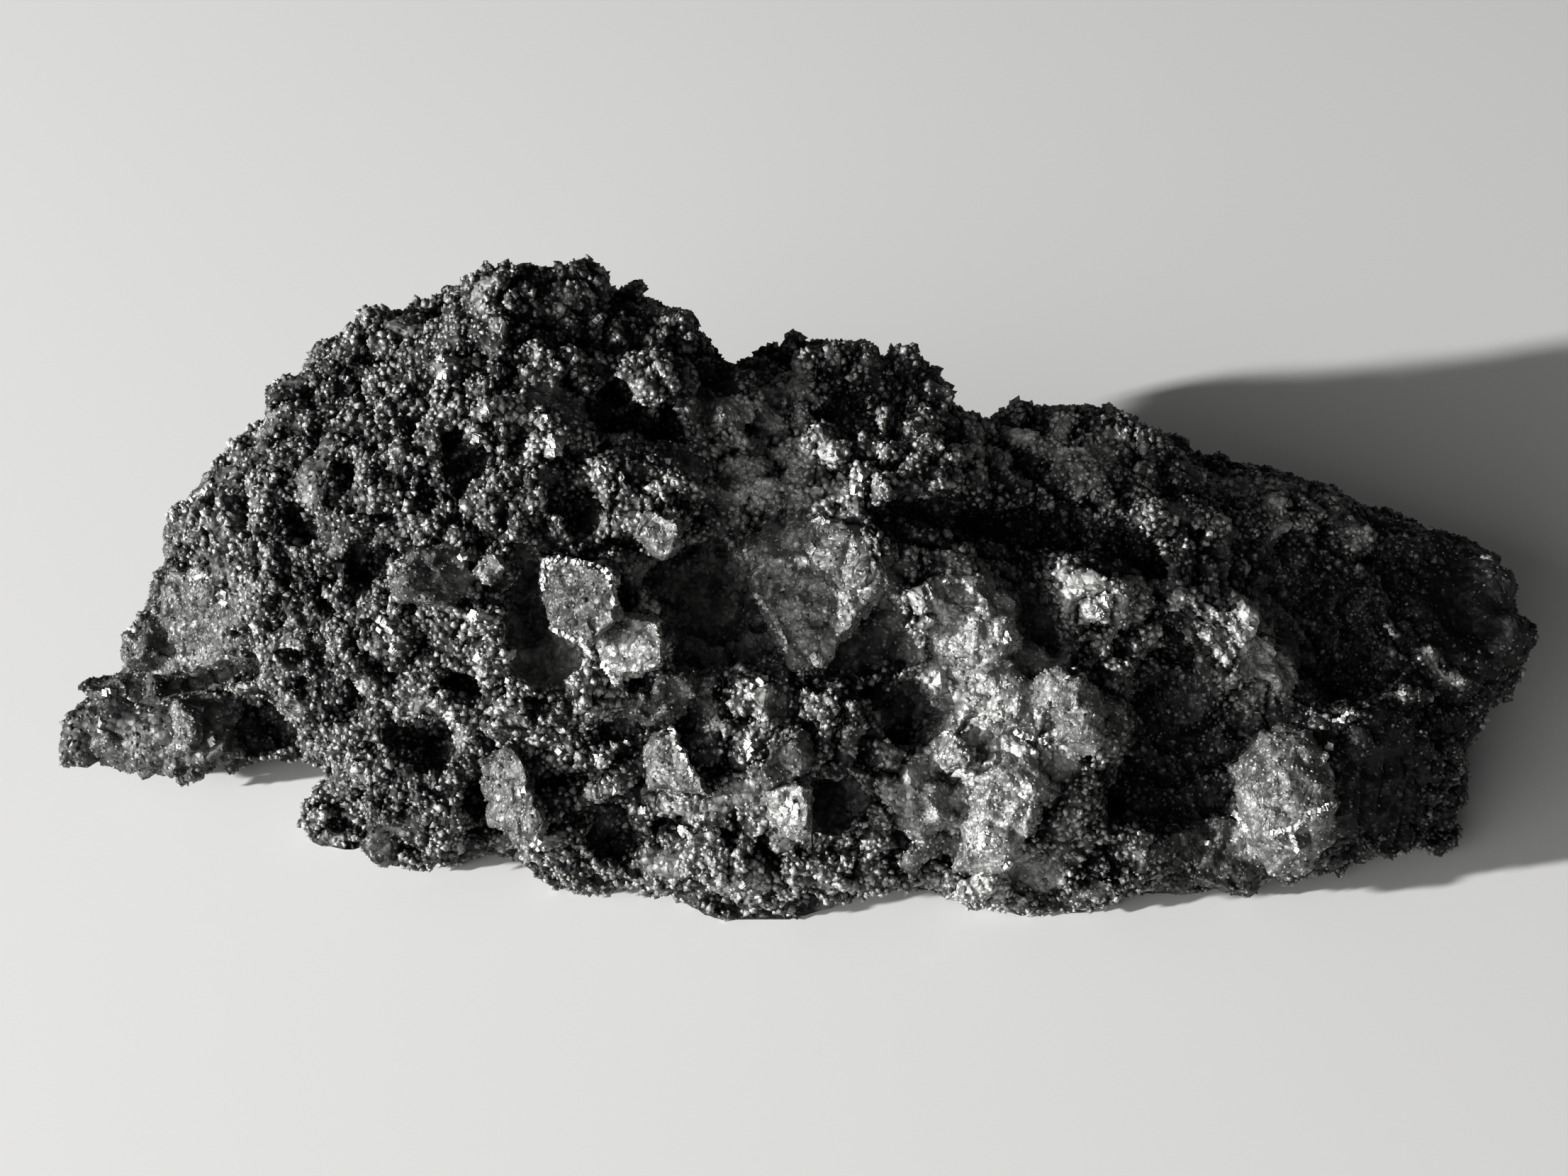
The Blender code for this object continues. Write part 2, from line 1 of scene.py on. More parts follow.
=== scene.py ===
"""Looks of a native silver specimen: a rough mass of dark, tarnished, granular silver.

The CAD mass gives the form. Its skin gets the knobs, the moulds of lost crystals and the clefts
of the real one. Flat-faced crystals and rounded lumps are set in it, and crusts of small grains
cover it. Sizes are millimetres, and each finished mesh is scaled to metres.
"""

import math

import bmesh
import bpy
import numpy as np
from mathutils import Euler, Matrix, Vector, noise
from mathutils.bvhtree import BVHTree
from mathutils.geometry import intersect_line_plane
from mathutils.kdtree import KDTree


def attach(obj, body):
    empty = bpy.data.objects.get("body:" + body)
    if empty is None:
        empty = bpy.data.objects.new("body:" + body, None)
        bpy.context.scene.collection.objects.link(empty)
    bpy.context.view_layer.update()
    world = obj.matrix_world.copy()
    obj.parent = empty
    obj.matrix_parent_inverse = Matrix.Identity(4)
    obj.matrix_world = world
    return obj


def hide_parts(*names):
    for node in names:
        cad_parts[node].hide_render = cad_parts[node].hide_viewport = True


MM = 0.001  # metres in a millimetre
SEED = 47

# The photographer's view: where it looks, from how far, and how much it takes in.
MIDDLE = Vector((-1.017, -1.055, 9.497))
SIGHT_ELEVATION = math.radians(38.0)
SIGHT_DISTANCE = 119.44
SIGHT_SCALE = 0.979  # millimetres of the specimen in one of the sight plane
FIELD_OF_VIEW = math.radians(36.0)
SENSOR_WIDTH = 36.0
NEAREST_SEEN = 0.001  # in metres
SIGHT_RIGHT = Vector((1.0, 0.0, 0.0))
SIGHT_BACK = Vector((0.0, -math.cos(SIGHT_ELEVATION), math.sin(SIGHT_ELEVATION)))
SIGHT_UP = Vector((0.0, math.sin(SIGHT_ELEVATION), math.cos(SIGHT_ELEVATION)))
EYE = MIDDLE + SIGHT_DISTANCE * SIGHT_BACK

# The two lights: how far each is turned to the front of straight left, how high it stands, in
# degrees, its width in metres and its power. Then where they point and how far off they are, in
# metres, and the light from all round.
KEY = (20.5, 15.5, 0.03, 18.5)
FILL = (50.0, 12.0, 0.8, 7.0)
LIT_PLACE = Vector((0, 0, 0.01))
LIGHT_DISTANCE = 0.9
AMBIENT_STRENGTH = 0.065

# The floor, with half its width in metres.
FLOOR_HALF = 3.0
FLOOR_COLOUR = (0.80, 0.795, 0.78, 1)
FLOOR_ROUGHNESS = 0.75

# The smooth noises: the size of each one's features, and the shift that sets it apart.
NOISES = {
    "region": (5.0, 0.0), "patch": (1.6, 7.0), "face": (2.0, 41.0), "leaf": (0.5, 0.0),
    "sway right": (1.0, 11.0), "fine sway": (0.4, 13.0), "sway up": (1.2, 17.0),
    "cleft": (2.2, 3.0), "fine cleft": (0.8, 5.0), "skin relief": (0.7, 0.0),
    "skin polish": (0.6, 0.0), "crease": (1.0, 0.0), "plate relief": (0.35, 2.0),
    "plate sway x": (0.9, 21.0), "plate sway y": (0.9, 23.0), "plate sway z": (0.9, 25.0),
    "plate tone": (0.8, 4.0), "plate polish": (0.5, 0.0), "grain size": (2.2, 31.0),
}

# The skin.
SKIN_VOXEL = 0.25
SKIN_FACES = 190000
SKIN_RELIEF = 0.08
SKIN_LEVEL = 80  # the percentile of the relief that stays level with the solid
SHRINK = 0.10  # how far the skin draws back from the CAD solid, to leave room for the grains
SOLE_HEIGHT = 0.8  # how far above the floor the relief is whole
INWARD_STEPS = 50
EDGE_SWAY = 0.30  # how far the edges of moulds and crystals wander
ROUGH_SWAY = 0.65  # the same for the moulds without smooth floors
FINE_SWAY = 0.4  # the finer part of it, as a share

# The clusters that the skin is made of: the mean distance between their middles, how far each
# bulges and where its bulge ends, how steeply it leans, and how unevenly they rise.
CLUSTER_SPACING = 1.0
CLUSTER_BULGE = 0.16
CLUSTER_END = 0.7
CLUSTER_LEAN = 0.22
CLUSTER_RISE = 0.07
# The clefts that run between the clusters, and how far the lumps between the clefts bulge.
CLEFT_WIDTH = 0.16
CLEFT_DEPTH = 0.9
CLEFT_WANDER = 0.3
LUMP_RISE = 0.5
LUMP_EDGE = 0.4

# The smooth faces among the grains: how sharply, how often, how calm and how pale they come.
FACE_SHARP = 4.0
FACE_LEAST = 0.16
FACE_CALM = 0.85
FACE_PALEST = 0.5

# Moulds: how wide the ring is that their depth is counted from, how far their floors lean, the
# smoothness that parts the smooth ones from the rough, and how much paler the smooth ones are painted,
# as painted light in their shade, and the rough ones darker, as painted shade.
MOUTH_WIDTH = 1.25
FLOOR_LEAN = 0.35
MOULD_SMOOTH = 0.45
MOULD_LIGHT_AND_SHADE = 1.4

# Paleness: what the skin's regions and patches add to its mean, what a knob adds for its own
# paleness and in any case, what leaves add for their height, and how much darker the skin is
# than its grains.
REGION_TONE = 0.35
PATCH_TONE = 0.4
MEAN_TONE = -0.12
KNOB_TONE = (1.2, 0.15)
LEAF_TONE = 2.5
SKIN_SHADE = 0.85
DARKEST = -1.3
# Skin that is lower than these is darker and barer, by this much for each millimetre, and the
# most that its height makes it paler or barer.
HOLLOW_RATE = 3.0
DARK_BELOW = -0.15
BARE_BELOW = -0.2
HIGH_TONE = 0.3
HOLLOW_BARE = 0.85
# How much of its relief calm skin loses, how its grains thin out as it gets calmer, how bare
# faces are, and how far inside their outlines they start to be.
CALM_FLAT = 0.9
CALM_BARE = (3, 2)
FACE_BARE = 0.9
FACE_RIM = 0.1

# Round patches of the front: the strength of each at its middle, of which 1 counts, and how much
# of it is lost by the patch's edge.
ZONE_FADE = (1.6, 1.2)
KNOB_FADE = (2.0, 1.7)
LEAF_FADE = (2.0, 1.5)
# Leaves: their length, in the gaps between them, and how high their crests rise and then fall.
LEAF_LENGTH = 5
LEAF_EDGE = (0.3, 2)

# Plates and lumps: their voxels, the rise of the ridges between creases and of the fine relief,
# how far both are worn down, how far past its outline a face's paleness counts, how its tone
# varies, and how calm it is.
PLATE_VOXEL = 0.17
CREASE_RISE = 0.4
PLATE_RELIEF = 0.05
PLATE_WEAR = 0.12
PLATE_RIM = 0.5
PLATE_TONE = 0.3
PLATE_CALM = 0.6
# The sides of a plate and of a lump: the width, as a share of the face's, and how far back.
PLATE_SIDES = ((1.0, 0.0), (1.15, 1.6))
LUMP_SIDES = ((0.35, 0.0), (0.65, 0.25), (0.86, 0.75), (0.97, 1.4), (1.0, 2.2), (0.98, 3.0))

# The crusts of grains.
CRUSTS = 4
GRAIN_TRIES = 400000
GRAIN_SPACING = 0.365
PLATE_GRAIN_SPACING = 0.39
GRAIN_LOWEST = 0.25  # no grain sits lower above the floor than this
GRAIN_SIZE = (0.14, 0.60)  # the least and greatest width of a grain
GRAIN_MEDIAN = 0.32
PLATE_GRAIN_MEDIAN = 0.22
GRAIN_SPREAD = 0.24
GRAIN_REGION = (1.03, 0.4)  # the mean factor on size, and how it varies from place to place
GRAIN_CALM = 0.2  # how much smaller and how much deeper the grains of calm skin are
GRAIN_RISE = (-0.2, 0.1)  # how far a grain stands out of the skin, for its width
GRAIN_STRETCH = (0.8, 1.25)
GRAIN_SKEW = 0.25
GRAIN_TONE = 0.45  # how much one grain's paleness differs from the next one's
GRAIN_TONES = (-1, 1.2)

# The bright crystals: beads in rows, and glints.
CUBE_WIDTH = 0.8
BEAD_SIZE = 0.19
BEAD_STEP = 0.13
BEAD_SCATTER = 0.05
GLINT_SIZE = 0.27
GLINT_INSET = 0.2
BRIGHT_STRETCH = (0.6, 1.5)
BRIGHT_TONES = (0.2, 1.0)
BRIGHT_TILT = math.radians(12.0)

# The silver's surface: its shine, its stains, what each thing adds to its tone, with painted shade in
# the gaps between its tiny crystals, the tones that the finishes' scale runs between, and what each
# thing adds to its gloss and relief.
SHINE = 0.3
STAIN_SIZE = 0.8
STAIN_DETAIL = 5.0
STAIN_TONE = 0.9
CRYSTAL_TONE = 0.5
GAP_PAINTED_SHADE = -0.5
TONE_SCALE = (-0.7, 1.6)
WARMTH = 0.97  # how much blue there is to red
CRYSTAL_GLOSS = 0.6
PIECE_GLOSS = 0.4
CRYSTAL_BULGE = 0.5
STAIN_RELIEF = 0.15
CALM_RELIEF = -0.6

# The finishes: the tones, each with its place on the scale, the least and greatest roughness, how
# metallic it is, its crystals' width, and how deep their relief is.
FINISHES = {
    "skin": (((0, 0.008), (0.3, 0.04), (0.55, 0.14), (0.75, 0.25), (1, 0.5)), (0.45, 0.75), 0.5, 0.30, 0.7),
    "plate": (((0, 0.02), (0.3, 0.06), (0.65, 0.16), (1, 0.4)), (0.4, 0.65), 0.6, 0.22, 0.5),
    "grain": (((0, 0.018), (0.3, 0.10), (0.55, 0.20), (0.75, 0.28), (1, 0.42)), (0.42, 0.75), 0.45,
              0.20, 0.45),
    "bright": (((0, 0.12), (0.6, 0.3), (1, 0.5)), (0.34, 0.60), 0.7, 0.20, 0.25),
}

# Knobs of the front: right, up, half width, half height, how far each stands proud, and its
# paleness from -1 to 1.
KNOBS = (
    # the dome
    (-20.3, 13, 2.2, 1, 0.5, 0.1), (-14.4, 14.9, 1.7, 1.3, 0.6, 0.1), (-10.6, 15.4, 1.4, 1, 0.6, 0.1),
    (-7.6, 15, 0.6, 0.6, 0.5, -0.1), (-5.6, 13.1, 1, 1, 0.6, 0.2), (-6.7, 10.4, 1.6, 1.5, 0.9, 0.35),
    (-13.7, 12.9, 1.1, 1, 0.5, 0.1), (-15, 9, 0.9, 0.7, 0.5, 0.3), (-17.2, 11.2, 1, 0.8, 0.5, 0.3),
    (-11.9, 7.4, 1.2, 0.9, 0.6, 0.3), (-19.3, 8.6, 1.3, 1.2, 0.5, 0.1), (-22, 11.3, 1.4, 1.2, 0.5, 0.1),
    (-25.2, 9.2, 1.2, 1.1, 0.4, 0.1), (-23.3, 8.1, 1, 0.9, 0.4, 0), (-26.3, 5.4, 1, 0.9, 0.4, 0.1),
    (-13.3, 5, 1.5, 1.3, 0.6, 0.15), (-15.5, 4.4, 1, 1.1, 0.5, 0), (-11.6, 11.4, 1.5, 1.3, 0.5, 0.05),
    (-8.5, 5.6, 0.9, 1.2, 0.6, 0.2), (-8.9, 3.4, 0.8, 1.1, 0.6, 0.2), (-6.4, 3, 1.3, 1, 0.6, 0.55),
    (-5.6, 4.9, 1.5, 0.9, 0.6, 0.3), (-2.1, 9.1, 1.3, 1.3, 0.8, 0.35), (-2.6, 7, 1.1, 0.9, 0.5, 0.15),
    (-1.2, 5.3, 1.2, 1, 1.8, 0.85), (-2.3, 3.9, 1, 0.9, 0.5, 0.3), (-18.6, 3.4, 1.2, 1.3, 0.5, 0.1),
    (-20.6, 5, 1.1, 1.2, 0.5, 0.1), (-17.8, 6.6, 1.1, 1.2, 0.4, 0), (-23.4, 1, 1.1, 1.6, 0.5, 0.2),
    # the left end
    (-27.9, 3.2, 2.3, 2, 0.4, 0.2), (-30.1, 3.5, 1.1, 1.2, 0.4, 0.2), (-30.3, 1.9, 1.1, 1.5, 0.4, 0.1),
    (-30.8, 0, 1, 1.2, 0.5, 0.1), (-31.5, -1.7, 1.1, 1.4, 0.5, 0.2), (-35.2, -7.1, 1.5, 1.5, 0.8, -0.3),
    (-33.6, -6.9, 2, 1.8, 0.8, -0.3), (-31.3, -7.3, 2.4, 2, 0.8, -0.1), (-33.6, -5.1, 2, 0.5, 0.3, -0.1),
    (-27, -4.9, 1.2, 0.7, 0.7, 0.3), (-25, -5.9, 0.9, 1.1, 0.6, 0.2), (-25.4, -2.6, 1.3, 1.4, 0.4, 0.1),
    # between the dome and the foot
    (-20.1, -2.2, 1.1, 1.3, 0.6, 0.45), (-19.9, -4.9, 1.4, 1.1, 0.5, 0.2), (-15.3, -1.7, 1, 0.9, 0.9, 0.9),
    (-14, -3.4, 0.8, 0.6, 0.8, 0.7), (-15.3, -4, 0.4, 0.8, 0.7, 0.6), (-14, 2.4, 0.9, 0.8, 0.6, 0.3),
    (-14.7, -5.9, 0.8, 1, 0.8, 0.6), (-13.2, -5.3, 0.9, 0.9, 0.8, 0.4), (-10.3, -5.8, 1.4, 1.6, 0.8, 0.25),
    (-12.6, -6.8, 0.8, 0.7, 0.6, 0.2), (-9.1, -9.3, 1.1, 1.5, 0.9, 0.75), (-13.1, -11.3, 1, 1.4, 0.9, 0.5),
    (-12.5, -13.2, 0.7, 0.7, 0.7, 0.8), (-7.5, -0.5, 0.7, 0.7, 0.5, 0.2), (-5.3, -1.6, 0.5, 0.6, 0.5, 0),
    (-4.4, -2.8, 0.5, 0.6, 0.5, 0), (-22.4, -6.6, 1.2, 1.2, 0.5, 0.15), (-17, -5.9, 1.4, 0.5, 0.6, 0.3),
    # the foot
    (-23.1, -11.4, 1.2, 1.8, 0.6, 0.2), (-21.8, -12.5, 1.5, 1.4, 0.3, 0.1),
    (-19.5, -13.2, 1.6, 1.1, 0.3, 0), (-21.3, -8.9, 0.9, 1.1, 0.5, 0.2), (-21.2, -12.6, 0.8, 0.8, 0.5, 0.1),
    (-18.7, -10.3, 1.3, 1, 0.6, 0.05), (-16.8, -10.9, 0.9, 0.9, 0.6, 0.1), (-16.9, -8, 0.4, 0.9, 0.6, 0.3),
    (-5.2, -11, 1.2, 1, 0.6, 0.5), (-4, -12.4, 1.1, 0.9, 0.7, 0.7), (-3, -14.4, 1.3, 1.1, 0.6, 0.5),
    # the middle
    (-1.4, -5.1, 1.1, 0.8, 1, 1), (-1, -6.7, 0.7, 0.7, 0.8, 0.8), (-2.9, -7, 0.8, 0.8, 0.5, 0.2),
    (0.3, -11, 0.9, 1.1, 0.8, 1), (0.2, 12.2, 0.5, 0.6, 0.5, 0), (2.3, 11.3, 2, 0.9, 0.1, 0.1),
    (6.1, 11.1, 1, 1, 0.2, -0.3), (8, 10, 0.9, 0.8, 0.5, -0.3), (6.6, 9.2, 2.1, 1.7, 0.6, -0.1),
    (1, 9.3, 0.6, 0.7, 0.5, 0.2), (6.2, 6.8, 2.6, 0.9, 0.6, 0.3), (4.8, 5.3, 1.2, 0.9, 0.6, 0.45),
    (7.3, 5.2, 1.2, 0.7, 0.7, 0.55), (0.9, 5.2, 1.3, 0.8, 0.5, 0.35), (2.2, 6.9, 1.4, 0.9, 0.4, 0),
    (3, -6.5, 1.5, 1, 0.6, 0.2), (4.4, 1, 0.6, 1, 0.5, 0.3), (-2.4, 1.3, 0.5, 0.8, 0.5, 0.4),
    # the pale flow
    (6.9, -1.2, 1.2, 1.4, 0.6, 0.5), (8.9, -1.4, 0.9, 1.2, 0.6, 0.55), (9.8, -4.4, 1.5, 1.7, 0.5, 0.6),
    (8.2, -4.8, 0.9, 1.3, 0.5, 0.55), (10.9, -6.8, 1.2, 1.1, 0.6, 0.7), (8.6, -8.3, 1.1, 1.1, 0.9, 0.7),
    (12.6, -8.2, 1, 1, 0.8, 0.65), (11.4, -11, 1.5, 1.5, 0.8, 0.7), (6, -10.6, 1.4, 1.4, 0.6, 0.6),
    (8.1, -10.8, 0.9, 0.9, 0.6, 0.5), (9.7, -14.6, 1.5, 1.2, 0.7, 0.6), (10.2, -12.8, 0.8, 0.9, 0.6, 0.8),
    (6.2, -13.3, 1.1, 0.9, 0.5, 0.4), (14.1, -5.4, 1.5, 1.1, 0.7, 0.6), (15, -7.2, 1, 1, 0.6, 0.5),
    (13.3, -4.3, 0.6, 0.5, 0.7, 0.4), (15.9, -9, 0.7, 0.9, 0.5, 0.3), (2.6, -14.6, 1.1, 0.9, 0.5, 0.2),
    (10.5, 0.8, 0.5, 0.8, 0.5, 0.3), (9.4, -6.6, 1.6, 1.4, 0.9, 0.5), (10.4, -1.6, 1.2, 1.6, 0.7, 0.4),
    (8.6, 0.6, 1.2, 0.9, 0.6, 0.4), (10.2, -9.2, 1.4, 1, 0.7, 0.5), (11.4, -3.2, 0.7, 1.4, 0.5, 0.6),
    (14, -11, 1, 1.2, 0.4, 0),
    # the right half's crest
    (12, 7.6, 0.9, 0.7, 0.6, 0.4), (12.8, 4.7, 1.1, 0.7, 0.6, 0.45), (14.7, 7, 0.9, 0.8, 0.6, 0.4),
    (15.2, 5.2, 1.1, 1.2, 0.5, 0.2), (14.6, 8.5, 1.1, 0.5, 0.4, 0.1), (16.8, 8.3, 0.7, 0.5, 0.4, -0.1),
    (10.5, 8, 0.8, 0.6, 0.5, 0.2), (18.3, 3.6, 1.2, 0.8, 0.6, 0.25), (19.2, 4.2, 0.5, 0.4, 0.5, 0.3),
    (16.4, 4, 0.5, 0.5, 0.6, 0.2), (21.4, 6.2, 0.9, 0.5, 0.5, -0.4), (23, 5.3, 0.8, 0.5, 0.5, 0.3),
    (25.1, 4.4, 1, 0.6, 0.6, 0.5), (25.6, 3, 0.9, 0.6, 0.6, 0.35), (21.8, 3.3, 0.7, 0.9, 0.5, 0.1),
    (23.4, 2.7, 0.9, 0.5, 0.5, 0.2), (29, 2.5, 1, 0.8, 0.5, 0.1), (32.6, 2.2, 0.6, 0.6, 0.4, -0.5),
    # the boulder and what lies beside it
    (15.6, -0.4, 1.9, 1.5, 0.9, 0.6), (14.3, 0.9, 1.1, 0.6, 0.6, 0.4), (20, -0.8, 1.1, 0.9, 0.7, 0.35),
    (21.5, -1.8, 1.2, 1, 0.7, 0.35), (23, -1.8, 1.1, 1.2, 0.6, 0.25), (22.7, -4.5, 0.7, 0.7, 0.8, 0.4),
    (24.5, -4.7, 0.9, 0.9, 0.8, 0.4), (25.4, -4.4, 0.8, 1, 0.6, 0.3), (24.2, -3, 0.9, 1, 0.6, 0.4),
    (18.4, -2.2, 0.7, 0.9, 0.5, 0.2), (17.7, -4, 0.5, 0.7, 0.5, 0.2), (32.7, -3.3, 0.8, 0.7, 0.8, 1.1),
    (33.8, -4.7, 0.9, 0.8, 0.9, 1.3), (32.7, -5.4, 0.6, 0.5, 0.7, 0.3), (31.8, -5.3, 0.5, 0.5, 0.6, 0.2),
    (29, -6.5, 0.6, 0.5, 0.6, 0.1), (16.9, -15, 0.9, 0.6, 0.5, 0.5), (18.2, -13.2, 0.4, 0.9, 0.5, 0.3),
    (14.6, -14.7, 1.2, 0.8, 0.4, 0.2),
    # the nodule: its pale face, and its side away from the light, painted dark as shade
    (25.4, -10.8, 2.8, 4, 1.2, 0.3), (30.2, -9.9, 3, 3.6, 0.4, -0.6), (25.6, -13.6, 1.3, 1.1, 0.6, 0.3),
)

# Broad parts of the front where the silver is painted paler or darker, and where its skin is calmer:
# right, up, half width, half height, paleness from -1 to 1, calm from 0 to 1. Some paleness is the
# silver's own tone, as on the pale flow. The dark zones are painted shade: at the far right, on the
# nodule's side away from the light, under the arched ledge, in the hollows of the right half and in
# the pockets by the dome's top. The pale zones on the saddle beside the dome, where its shadow
# falls, are painted light.
ZONES = (
    (-29.8, -2.2, 2.6, 2.6, 0, 0.7), (-31.5, -7.2, 7, 3.4, 0, 1), (-32.6, -2.8, 1.6, 1.8, -0.2, 0.5),
    (-2, -13.9, 6.5, 2.2, 0.4, 0), (9.8, -8, 4.2, 7.5, 0.8, 0.5), (14.8, -6.4, 2.8, 2.8, 0.5, 0.5),
    (1.5, 0, 3.4, 3.2, 0.2, 0.7), (4.4, -2.7, 2.4, 2.2, -1.1, 0), (15.5, -0.6, 2.2, 1.8, 0.5, 0.4),
    (22.8, -2.4, 3.6, 3.2, 0.7, 0.4), (25, -3.4, 2.2, 2.6, 0.8, 0.5), (22, -13.6, 2.6, 2.2, -0.3, 1),
    (25.4, -10.8, 3.6, 4.9, -0.1, 1), (35.2, -1, 5.2, 5.2, -1, 1), (34, -9.5, 2.5, 5, -0.6, 0.4),
    (19.3, 6.5, 2.6, 2, -0.3, 0.2), (27.5, -2, 4.5, 4.2, -0.2, 0.7), (30.6, -9.9, 2.9, 3.8, -0.9, 1),
    (19.5, -8, 3.2, 4.4, -0.1, 0.6), (-12.7, 15.2, 1.2, 1, -0.8, 0), (-2.6, 11.3, 1.3, 1.3, -0.8, 0),
    (3, 9.2, 1.3, 1, -0.6, 0.3), (-18, -12, 4, 2.5, -0.2, 0), (8.6, 3.6, 3.6, 1.1, -1.1, 0.3),
    (13.5, 3, 3, 1.1, -1.1, 0.3), (17.3, 1.8, 1.7, 1.4, -1, 0.3), (6, 6.5, 6, 3, 0.3, 0),
    (14, 6, 5, 2.6, 0.15, 0), (24.5, 4, 4, 2, 0.3, 0), (-12, -6, 6, 4, 0.25, 0), (-2, -7, 4, 4, 0.2, 0),
    (-10, 2, 6, 4, 0.2, 0), (0.5, 5.3, 4.2, 2.4, 1, 0), (9, -1.4, 3.8, 3.4, 0.9, 0.2),
    (-3.5, -0.8, 3.4, 3.6, 0.7, 0), (9.8, -8, 4.4, 7.5, 0.25, 0), (14, 6.8, 4.5, 2.2, 0.8, 0),
    (-1, 8.5, 3, 2.6, 0.9, 0), (-15, 8.5, 9.5, 7, 0.16, 0), (17.5, -1, 3, 2, 0.3, 0),
)

